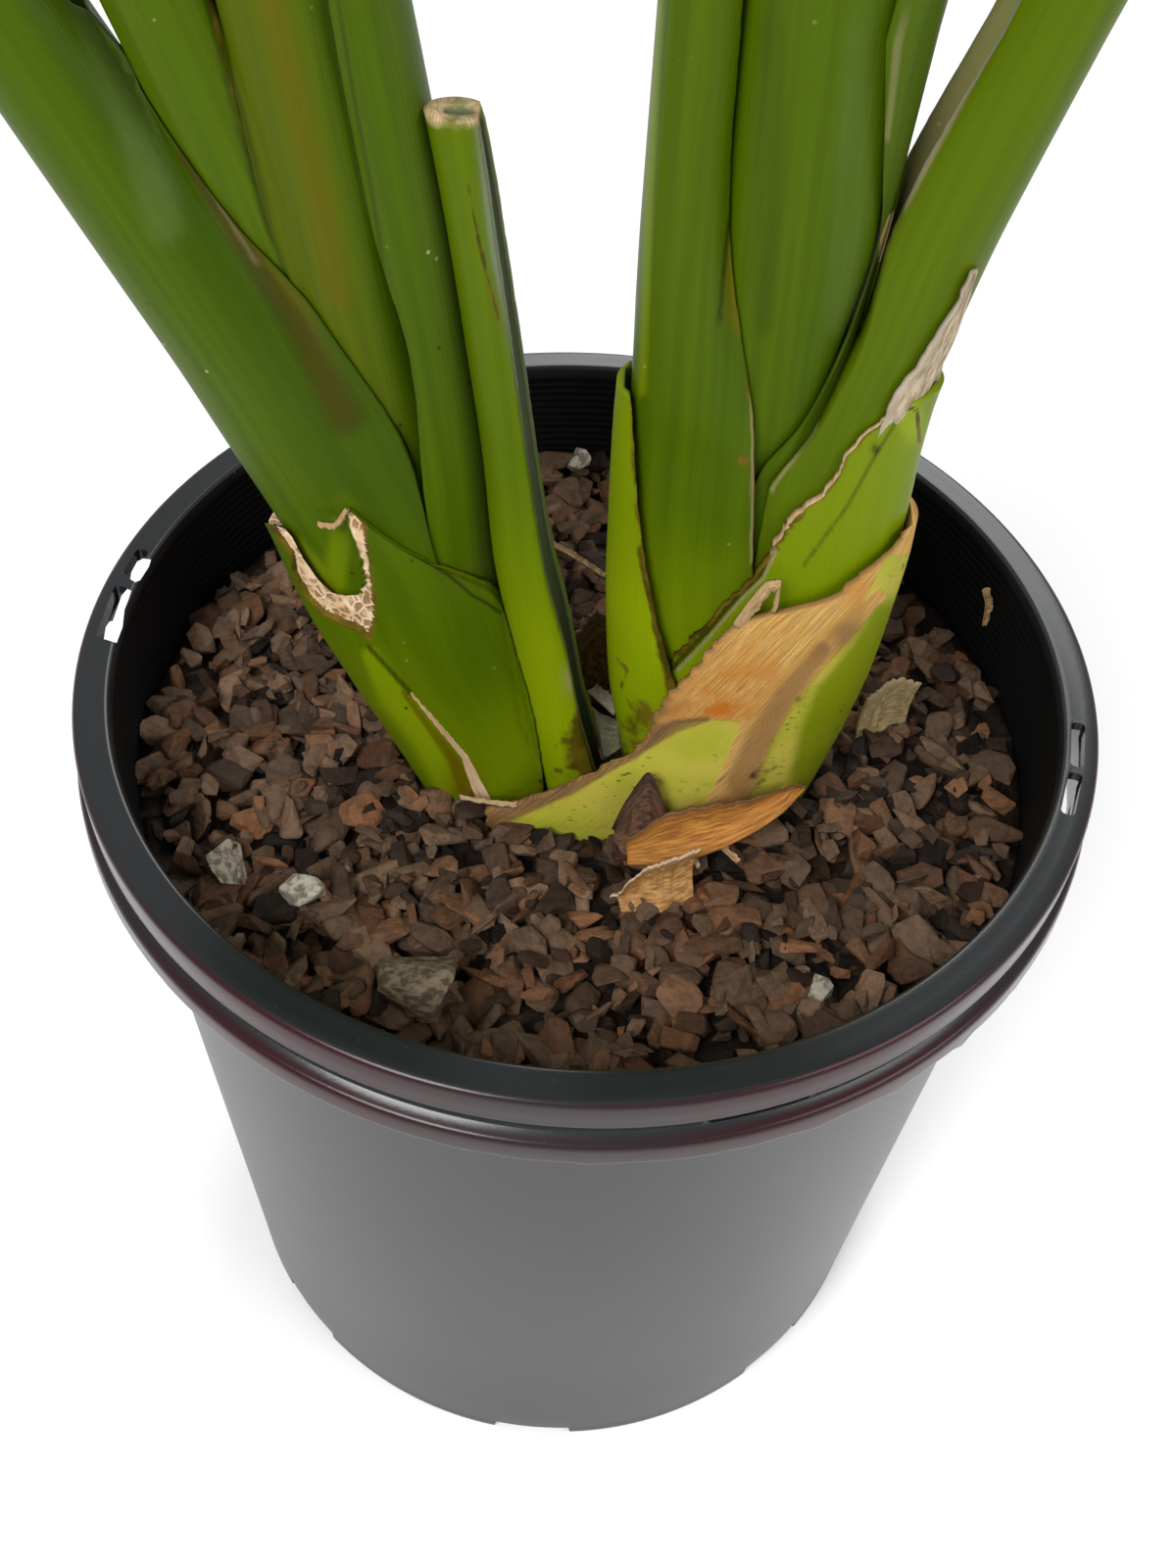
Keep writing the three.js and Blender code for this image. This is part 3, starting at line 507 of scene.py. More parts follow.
def pchip(xs, ys, x):
    """Smooth curve through points that never overshoots them."""
    xs, ys, x = np.asarray(xs, float), np.asarray(ys, float), np.asarray(x, float)
    h = np.diff(xs)
    d = np.diff(ys) / h
    m = np.zeros_like(ys)
    m[0], m[-1] = d[0], d[-1]
    same = d[:-1] * d[1:] > 0
    w1, w2 = 2 * h[1:] + h[:-1], h[1:] + 2 * h[:-1]
    with np.errstate(divide="ignore", invalid="ignore"):
        m[1:-1] = np.where(same, (w1 + w2) / (w1 / d[:-1] + w2 / d[1:]), 0.0)
    i = np.clip(np.searchsorted(xs, x) - 1, 0, len(h) - 1)
    t = (np.clip(x, xs[0], xs[-1]) - xs[i]) / h[i]
    rise = ys[i + 1] - ys[i]
    return (
        ys[i]
        + rise * t * t * (3 - 2 * t)
        + h[i] * (m[i] * t * (1 - t) ** 2 - m[i + 1] * t * t * (1 - t))
    )


# Stalks. A row gives, at a height z, the x of the keel, the x where the round body ends on the clasping
# side, half its depth, and the x of the sheath margin, and of the margin at the back where it differs.
STALKS = {
    "old_sheath_left": dict(
        side=1, y=LEFT_Y, wall=3.4,
        inner=("leaf_l1", "leaf_l4", "leaf_l3", "leaf_l2", "cut_stalk"),
        rows=[
            (198, -38, 3, 16, -8), (224, -48.5, -2, 17, -10), (252, -61, -9, 16.8, -13),
            (275, -70.5, -13, 16.6, -18.5), (290, -75, -16, 16.4, -23), (300, -77.6, -20, 16.2, -34),
            (310, -80.8, -25, 15.9, -47), (318, -84, -30, 15.6, -55),
        ],
    ),
    "leaf_l1": dict(
        side=1, y=LEFT_Y, inner=("leaf_l4", "leaf_l3", "leaf_l2"),
        rows=[
            (198, -34, -2, 13.4, -9), (224, -44, -8, 14.2, -15), (250, -55.5, -13, 14.2, -20),
            (275, -65.5, -17, 14, -28), (300, -73.8, -20, 13.8, -36), (330, -86.7, -30, 13.5, -42),
            (345, -93, -42, 13.2, -48), (365, -102, -62, 12.9, -59), (385, -111, -77, 12.7, -74),
            (405, -120, -90, 12.5, -87), (430, -131, -104, 12.3, -105.5),
        ],
    ),
    "leaf_l4": dict(
        side=-1, y=LEFT_Y, inner=("leaf_l3", "leaf_l2"),
        rows=[
            (198, -7, -29, 11, -22), (224, -12, -38.5, 11.6, -30), (250, -17.5, -47, 11.8, -36),
            (275, -21, -55, 11.9, -38), (300, -24, -60, 12, -38), (330, -26.2, -52, 12, -39.5),
            (345, -28, -50, 12, -40), (360, -29.9, -50, 12, -41.5), (385, -33.2, -52, 11.8, -47.5),
            (405, -36.5, -54, 11.6, -50.5), (430, -40.6, -60, 11.3, -53),
        ],
    ),
    "leaf_l3": dict(
        side=-1, y=LEFT_Y, inner=("leaf_l2",),
        rows=[
            (198, -12, -27.5, 8.6, -20), (224, -17, -36.5, 9, -27), (250, -22, -45, 9.4, -34),
            (275, -26.5, -53, 9.6, -40), (300, -31, -60, 9.8, -46), (330, -36.5, -66, 10, -54),
            (360, -41.5, -66, 10.6, -61), (385, -45, -69, 11.2, -68), (405, -48, -72.5, 11.6, -71),
            (430, -51, -76.5, 12, -74),
        ],
    ),
    "leaf_l2": dict(
        side=1, y=LEFT_Y, inner=(),
        rows=[
            (198, -26.5, -17, 6, -18), (250, -44, -29, 6.6, -30.5), (300, -59, -40, 7.4, -41.5),
            (330, -68, -47, 7.9, -49), (360, -77.5, -54.5, 8.6, -56), (405, -90, -66.5, 9.6, -68),
            (430, -98, -74.5, 10, -76),
        ],
    ),
    "cut_stalk": dict(
        side=1, y=STUB_Y, wall=3.2, inner=(),
        rows=[
            (198, -6.2, 11, 9, 8.5), (224, -11.2, 8, 10, 4.5), (250, -16.7, 2, 10.5, -1.5),
            (275, -20.2, -2, 10.5, -6), (300, -24.2, -6, 10, -11.5), (330, -26.8, -10, 9.3, -16),
            (360, -30.5, -14, 8.4, -20), (385, -33.8, -18, 7.4, -23.5), (405, -36.9, -23, 6, -26.5),
            (410, -37.8, -25.5, 5, -27.6),
        ],
    ),
    "old_sheath_right": dict(
        side=-1, y=RIGHT_Y, wall=1.6, far_power=3,
        inner=("short_sheath", "spear_sheath", "leaf_r1", "leaf_r4", "leaf_r3", "leaf_r2"),
        rows=[
            (198, 57, -42, 26.5, -14, 30), (224, 63, -48, 27.4, -24, 27), (228, 63.8, -40, 27.2, -17, 26.5),
            (239, 66, -26, 26.6, -1, 25), (244, 67, -18, 26, 5, 24.5), (253, 68.6, -8, 24.4, 15, 24),
            (265, 70.5, -2, 22.8, 18, 24), (280, 71.8, 0, 21.6, 25.5, 28), (292, 72.6, 0, 20.8, 32.5, 34),
            (296.5, 72.9, 0, 20.4, 39, 40), (298.5, 73, 0, 20.3, 47, 46), (301, 73.1, 0, 20.1, 54.5, 52),
            (305, 73.2, 0, 19.9, 59, 57), (309.5, 73.1, 1, 19.7, 64.5, 62), (314, 73, 2, 19.4, 68.5, 67),
        ],
    ),
    "short_sheath": dict(
        side=1, y=RIGHT_Y, wall=1.8,
        inner=("spear_sheath", "leaf_r1", "leaf_r4", "leaf_r3", "leaf_r2"),
        rows=[
            (198, 13, 56, 21, 26), (224, 10, 61, 21.3, 28), (239, 7.5, 64, 21, 27), (254, 4.8, 67, 20.2, 25),
            (271, 3.3, 69, 19.2, 20), (290, 2.2, 70, 18.2, 14), (303, 1.9, 71, 17.6, 11),
            (316, 1.6, 71, 17.2, 8.6), (334, 1.4, 72, 16.6, 6.2), (346, 1.6, 73, 16.2, 4.6),
        ],
    ),
    "spear_sheath": dict(
        side=-1, y=RIGHT_Y, wall=2.4, inner=("leaf_r1", "leaf_r4", "leaf_r3", "leaf_r2"),
        rows=[
            (198, 53, 15, 18.4, 20), (224, 59, 12, 18.6, 16), (250, 64, 8, 18, 14), (274, 67.3, 6.5, 17, 20),
            (284, 68.4, 6, 16.6, 25), (296, 69.7, 5.5, 16.2, 31), (306, 70.3, 5, 15.9, 37),
            (321, 70.4, 5, 15.4, 42), (331, 70.2, 6, 15.1, 49.5), (344, 70.6, 8, 14.7, 54),
            (352, 71.4, 12, 14.4, 63),
        ],
    ),
    "leaf_r1": dict(
        side=1, y=RIGHT_Y, inner=("leaf_r4", "leaf_r3", "leaf_r2"),
        rows=[
            (198, 16, 49, 15.6, 44), (224, 13, 55, 15.8, 48), (250, 9, 60, 15.5, 50),
            (275, 7.5, 63.5, 15, 46), (300, 5.5, 66, 14.2, 36.5), (330, 5, 60, 13.6, 33),
            (345, 4.8, 40, 13.2, 31),
            (358, 4.5, 32, 12.9, 28), (370, 4.2, 27, 12.7, 25), (388, 4, 22.5, 12.4, 21.5),
            (405, 4, 21, 12.2, 20), (430, 4, 20.5, 12, 19),
        ],
    ),
    "leaf_r4": dict(
        side=-1, y=RIGHT_Y, inner=("leaf_r3", "leaf_r2"),
        rows=[
            (198, 47, 22, 12.9, 26), (224, 53, 23.5, 13.2, 30), (250, 58, 23, 13.1, 33),
            (275, 61.5, 22.5, 12.9, 35), (305, 64.3, 22, 12.6, 36), (327, 65.6, 22, 12.4, 36.5),
            (342, 67, 26, 12.3, 44), (355, 69.2, 34, 12.2, 48), (367, 71.5, 42, 12.1, 51),
            (388, 75.3, 50, 11.9, 53), (401, 78.2, 54, 11.8, 56), (430, 85, 63.5, 11.5, 65.5),
        ],
    ),
    "leaf_r3": dict(
        side=-1, y=RIGHT_Y, inner=("leaf_r2",),
        rows=[
            (198, 36, 23.5, 10, 27), (250, 43, 24.5, 10.5, 28.5), (305, 47.2, 23.8, 10.7, 31),
            (330, 49, 23, 10.9, 34), (345, 50, 24, 11, 42), (367, 51.6, 28, 11.2, 48.5),
            (388, 53.2, 31, 11.4, 50.8), (405, 54, 33, 11.5, 48.4), (430, 55.2, 36, 11.6, 44.3),
        ],
    ),
    "leaf_r2": dict(
        side=1, y=RIGHT_Y, far_power=3, inner=(),
        rows=[
            (198, 25, 31, 7, 30.2), (250, 24.5, 36, 7.8, 35), (300, 23.5, 40, 8.6, 39),
            (330, 22, 44, 9.1, 43),
            (360, 20.5, 48, 9.6, 47), (388, 19.4, 51.4, 9.9, 50.4), (405, 18.8, 51, 10.1, 50),
            (430, 18, 50, 10.3, 49),
        ],
    ),
}

# Above the nest: leans from upright in degrees at the nest, the blade's foot and its tip, the lean
# towards the back, lengths of stalk and blade, half the blade's width, its twist and its thickness.
LEAVES = {
    "leaf_l1": dict(lean=(-24, -32, -64), back=-6, stalk=215, blade=400, half=104, twist=-14, thick=24.5),
    "leaf_l2": dict(lean=(-16, -22, -50), back=13, stalk=300, blade=420, half=108, twist=20, thick=21),
    "leaf_l3": dict(lean=(-10, -10, -24), back=-9, stalk=345, blade=430, half=106, twist=-24, thick=23),
    "leaf_l4": dict(lean=(-5, -2, -8), back=12, stalk=235, blade=390, half=98, twist=30, thick=9.5),
    "leaf_r1": dict(lean=(0, 1, 4), back=-13, stalk=250, blade=400, half=100, twist=34, thick=14),
    "leaf_r2": dict(lean=(1, 4, 12), back=2, stalk=350, blade=440, half=104, twist=22, thick=20),
    "leaf_r3": dict(lean=(4, 14, 38), back=13, stalk=280, blade=410, half=104, twist=-20, thick=8),
    "leaf_r4": dict(lean=(14, 32, 80), back=-5, stalk=240, blade=426, half=104, twist=16, thick=19),
}

GRID = np.arange(-150.0, 105.0, 0.25)
OUTER_T = np.linspace(0, 1, 31)[1:]
OUTER_SPACING = 0.35 * OUTER_T + 0.65 * 0.5 * (1 - np.cos(np.pi * OUTER_T))
INNER_F = np.linspace(0, 1, 18)[:-1]
TORN = {
    "old_sheath_right": 0.8, "spear_sheath": 0.7, "old_sheath_left": 0.15, "short_sheath": 0.2,
    "cut_stalk": 0.08, "leaf_l1": 0.08, "leaf_r1": 0.1, "leaf_r4": 0.1, "leaf_l4": 0.06, "leaf_l3": 0.06,
}


@functools.lru_cache(None)
def row_at(name, z):
    """Keel, far side, half depth and both margins of a stalk at height z, or None where it isn't."""
    stalk = STALKS[name]
    rows = stalk["rows"]
    if z < rows[0][0] - 1e-6 or z > rows[-1][0] + 1e-6:
        return None
    columns = list(zip(*[row if len(row) > 5 else (*row, row[4]) for row in rows]))
    keel, far, depth, front, back = (float(pchip(columns[0], column, z)) for column in columns[1:])
    seed = sum(map(ord, name))
    tear = TORN.get(name, 0.0)
    front += tear * float(wobble(z, seed, 2.3) + 0.6 * wobble(z, seed + 3, 0.8))
    back += tear * float(wobble(z, seed + 9, 2.3))
    return keel, far, depth, front, back


def body_depth(name, z, x):
    stalk = STALKS[name]
    keel, far, depth, _, _ = row_at(name, z)
    u = stalk["side"] * (np.asarray(x) - keel) / (abs(far - keel) / 2) - 1
    power = np.where(u > 0, stalk.get("far_power", 2), 2)
    return depth * np.clip(1 - np.abs(u) ** power, 0, None) ** (1 / power)


def wing_thickness(name, z, x, back):
    """Thickness of the sheath's wing, thin at its margin."""
    row = row_at(name, z)
    side = STALKS[name]["side"]
    reach = side * (row[4 if back else 3] - row[0])
    share = np.clip(side * (np.asarray(x) - row[0]) / reach, 0, 1)
    return 0.75 + 1.5 * (1 - share) ** 1.2


@functools.lru_cache(None)
def outside(name, z, back):
    """Half depth of the outside over the grid of x, sloping off past the margin."""
    row = row_at(name, z)
    if row is None:
        return None
    side = STALKS[name]["side"]
    margin = row[4 if back else 3]
    depth = body_depth(name, z, GRID)
    held = nest(name, z, back)
    if held is not None:
        over = held + GAP + wing_thickness(name, z, GRID, back)
        blend = 1.6
        smooth = np.maximum(depth, over) + np.clip(blend - np.abs(depth - over), 0, None) ** 2 / (4 * blend)
        depth = np.where(held > 0.2, smooth, depth)
    along = side * (GRID - row[0])
    reach = side * (margin - row[0])
    edge = np.interp(margin, GRID, depth)
    past = np.clip(edge - 1.6 * (along - reach), 0, None)
    return np.where(along < 0, 0.0, np.where(along > reach, past, depth))


@functools.lru_cache(None)
def nest(name, z, back):
    """Half depth over the grid of all that a stalk clasps, or None."""
    depths = []
    for other in STALKS[name]["inner"]:
        depth = outside(other, z, back)
        if depth is not None:
            shift = (STALKS[other]["y"] - STALKS[name]["y"]) * (1 if back else -1)
            depths.append(np.where(depth > 0, depth + shift, 0))
    if not depths:
        return None
    most = np.clip(np.max(depths, axis=0), 0, None)
    kernel = np.exp(-np.linspace(-2, 2, 17) ** 2)
    return np.maximum(most, np.convolve(most, kernel / kernel.sum(), "same"))


def nest_start(name, z):
    """Where the stalks inside begin, seen from the keel, or None."""
    side = STALKS[name]["side"]
    starts = []
    for other in STALKS[name]["inner"]:
        row = row_at(other, z)
        if row is not None:
            starts += [side * row[0], side * row[3]]
    return side * min(starts) if starts else None


def nest_outline(name, z):
    """The outline of a stalk at height z as [distance from keel, depth], front negative, with masks."""
    stalk = STALKS[name]
    side = stalk["side"]
    row = row_at(name, z)
    keel, far, depth = row[:3]
    reach_front = side * (row[3] - keel)
    bottom = max(side * (far - keel) * 0.76, 1.6)
    start = nest_start(name, z)
    if start is not None and side * (start - keel) - GAP < reach_front:
        bottom = min(bottom, side * (start - keel) - GAP)
    if "wall" in stalk:
        bottom = min(bottom, stalk["wall"])
    bottom = max(min(bottom, reach_front - 1), 0.8)
    halves = []
    for back in (False, True):
        reach = side * (row[4 if back else 3] - keel)
        profile = outside(name, z, back)
        held = nest(name, z, back)
        q_out = reach * OUTER_SPACING

        def outer(q, profile=profile):
            x = keel + side * np.asarray(q)
            shape = np.interp(x, GRID, profile)
            near_keel = body_depth(name, z, x)
            exact = np.where((q < 3.0) & (near_keel > shape - 0.8), near_keel, shape)
            return np.maximum(exact, 0.55)

        q_in = reach + (bottom - reach) * INNER_F
        groove = 0.42 * depth * np.sqrt(1 - INNER_F**2)
        shell = outer(q_in) - stalk["wall"] if "wall" in stalk else groove
        x_in = keel + side * q_in
        clasped = np.interp(x_in, GRID, held) if held is not None else np.zeros_like(q_in)
        space = np.maximum(np.where(clasped > 0, clasped + GAP, 0), shell)
        skin = np.minimum(0.6 + 0.1 * (reach - q_in), 2.2)
        space = np.clip(np.minimum(space, outer(q_in) - skin), 0, None)
        sign = 1 if back else -1
        halves.append((np.stack([q_out, sign * outer(q_out)], -1), np.stack([q_in, sign * space], -1)))
    (front_out, front_in), (back_out, back_in) = halves
    outline = [[[0.0, 0.0]], front_out, front_in, [[bottom, 0.0]], back_in[::-1], back_out[::-1]]
    return np.concatenate([np.asarray(part, float) for part in outline])


def stalk_outline(thick, depth):
    """Section of a free stalk as [towards the upper side, sideways] about its middle."""
    reach, bottom = thick * 0.96, thick * 0.74
    q_out = reach * OUTER_SPACING

    def outer(q):
        return depth * np.sqrt(np.clip(1 - (2 * q / thick - 1) ** 2, 0, None))

    q_in = reach + (bottom - reach) * INNER_F
    space = np.clip(np.minimum(0.5 * depth * np.sqrt(1 - INNER_F**2), outer(q_in) - 0.8), 0, None)
    out = [np.stack([q_out, sign * outer(q_out)], -1) for sign in (-1, 1)]
    into = [np.stack([q_in, sign * space], -1) for sign in (-1, 1)]
    outline = [[[0.0, 0.0]], out[0], into[0], [[bottom, 0.0]], into[1][::-1], out[1][::-1]]
    outline = np.concatenate([np.asarray(part, float) for part in outline])
    outline[:, 0] -= thick / 2
    return outline


def blade_width(t):
    return np.sin(np.pi * np.clip(t, 0, 1) ** 0.62) ** 0.75


def blade_outline(t, half, foot):
    """Section of the blade: a rib below, a shallow groove above and a thin lamina either side."""
    rib = foot + (1.3 - foot) * t**0.8
    width = max(half * blade_width(t), rib + 0.8)
    flank = rib * 0.8
    count = len(OUTER_T)
    on_rib = 9

    def rise(v, sign):
        share = v / half
        wave = sign * 5 * share**2 * math.sin(t * 15 + sign) + 3 * share**2 * math.sin(t * 9 + sign * 2)
        ripple = 0.9 * share * math.sin(t * 46 + sign) * smoothstep(0.3, 1.0, v / width)
        return 0.16 * np.clip(v - flank, 0, None) - 0.0007 * v * v + wave + ripple

    angle = np.linspace(0, np.pi / 2, on_rib + 1)[1:]
    rib_part = np.stack([-rib * np.cos(angle) - LAMINA * np.sin(angle), flank * np.sin(angle)], -1)
    spread = flank + (width - flank) * np.linspace(0, 1, count - on_rib + 1)[1:]
    upper_v = width + (flank - width) * np.linspace(0, 1, len(INNER_F))
    halves = []
    for sign in (-1, 1):
        lamina = LAMINA * smoothstep(width + 1, width - 6, spread) * 0.75
        under = np.stack([rise(spread, sign) - lamina - 0.25, spread], -1)
        out = np.concatenate([rib_part, under]) * (1, sign)
        groove = -0.28 * rib * (1 - smoothstep(flank * 0.4, flank * 1.6, upper_v))
        top = np.stack([rise(upper_v, sign) + groove, upper_v], -1) * (1, sign)
        halves.append((out, top))
    (left_out, left_top), (right_out, right_top) = halves
    outline = [[[-rib, 0.0]], left_out, left_top, [[-0.34 * rib, 0.0]], right_top[::-1], right_out[::-1]]
    return np.concatenate([np.asarray(part, float) for part in outline])


BLADE_FOOT_R = 6.5
FREE_STALK_THICK = 14


def leaf_path(name):
    """Rings of a leaf above the nest: places, the two directions of each section, and its outline."""
    leaf, stalk = LEAVES[name], STALKS[name]
    side = stalk["side"]
    keel, _, depth = row_at(name, NEST_TOP_Z)[:3]
    place = np.array([keel + side * leaf["thick"] / 2, stalk["y"], NEST_TOP_Z])
    top = nest_outline(name, NEST_TOP_Z)
    top[:, 0] -= leaf["thick"] / 2

    def direction(s):
        on_stalk = min(max(s / leaf["stalk"], 0), 1)
        on_blade = min(max((s - leaf["stalk"]) / leaf["blade"], 0), 1)
        a, b, c = leaf["lean"]
        lean = math.radians(lerp(a, b, on_stalk**1.5) + (c - b) * on_blade**1.2)
        back = math.radians(leaf["back"]) * on_stalk
        d = np.array([math.sin(lean), math.sin(back), math.cos(lean)])
        return d / np.linalg.norm(d)

    stations = np.concatenate([
        np.linspace(0, leaf["stalk"], 33)[1:],
        leaf["stalk"] + leaf["blade"] * np.linspace(0, 1, 67)[1:] ** 0.95,
    ])
    rings, alongs = [], []
    walked = 0.0
    for s in stations:
        pieces = 6
        step = (s - walked) / pieces
        for i in range(pieces):
            place = place + direction(walked + (i + 0.5) * step) * step
        walked = s
        tangent = direction(s)
        flat = np.array([side, 0.0, 0.0])
        across = flat - tangent * (flat @ tangent)
        across /= np.linalg.norm(across)
        level = 1 - smoothstep(0, 60, s)
        across = across * (1 - level) + flat * level
        across /= np.linalg.norm(across)
        turned = min(max(s / (leaf["stalk"] + leaf["blade"] * 0.5), 0), 1) ** 1.4
        twist = math.radians(leaf["twist"]) * turned
        across = np.array(Matrix.Rotation(twist, 3, Vector(tangent)) @ Vector(across))
        sideways = np.cross(tangent, across) * side
        sideways = sideways * (1 - level) + np.array([0.0, 1.0, 0.0]) * level
        sideways /= np.linalg.norm(sideways)
        if s <= leaf["stalk"]:
            f = s / leaf["stalk"]
            thick = lerp(leaf["thick"], FREE_STALK_THICK, min(1, f * 1.2))
            free = stalk_outline(thick, lerp(depth, BLADE_FOOT_R + 0.6, f))
            outline = lerp(top, free, smoothstep(0, 45, s))
            outline = lerp(outline, blade_outline(0.0, leaf["half"], BLADE_FOOT_R), smoothstep(0.86, 1.0, f))
        else:
            t = (s - leaf["stalk"]) / leaf["blade"]
            outline = blade_outline(t, leaf["half"], BLADE_FOOT_R)
        rings.append(place + outline[:, :1] * across + outline[:, 1:] * sideways)
        alongs.append((NEST_TOP_Z + s, outline))
    return rings, alongs


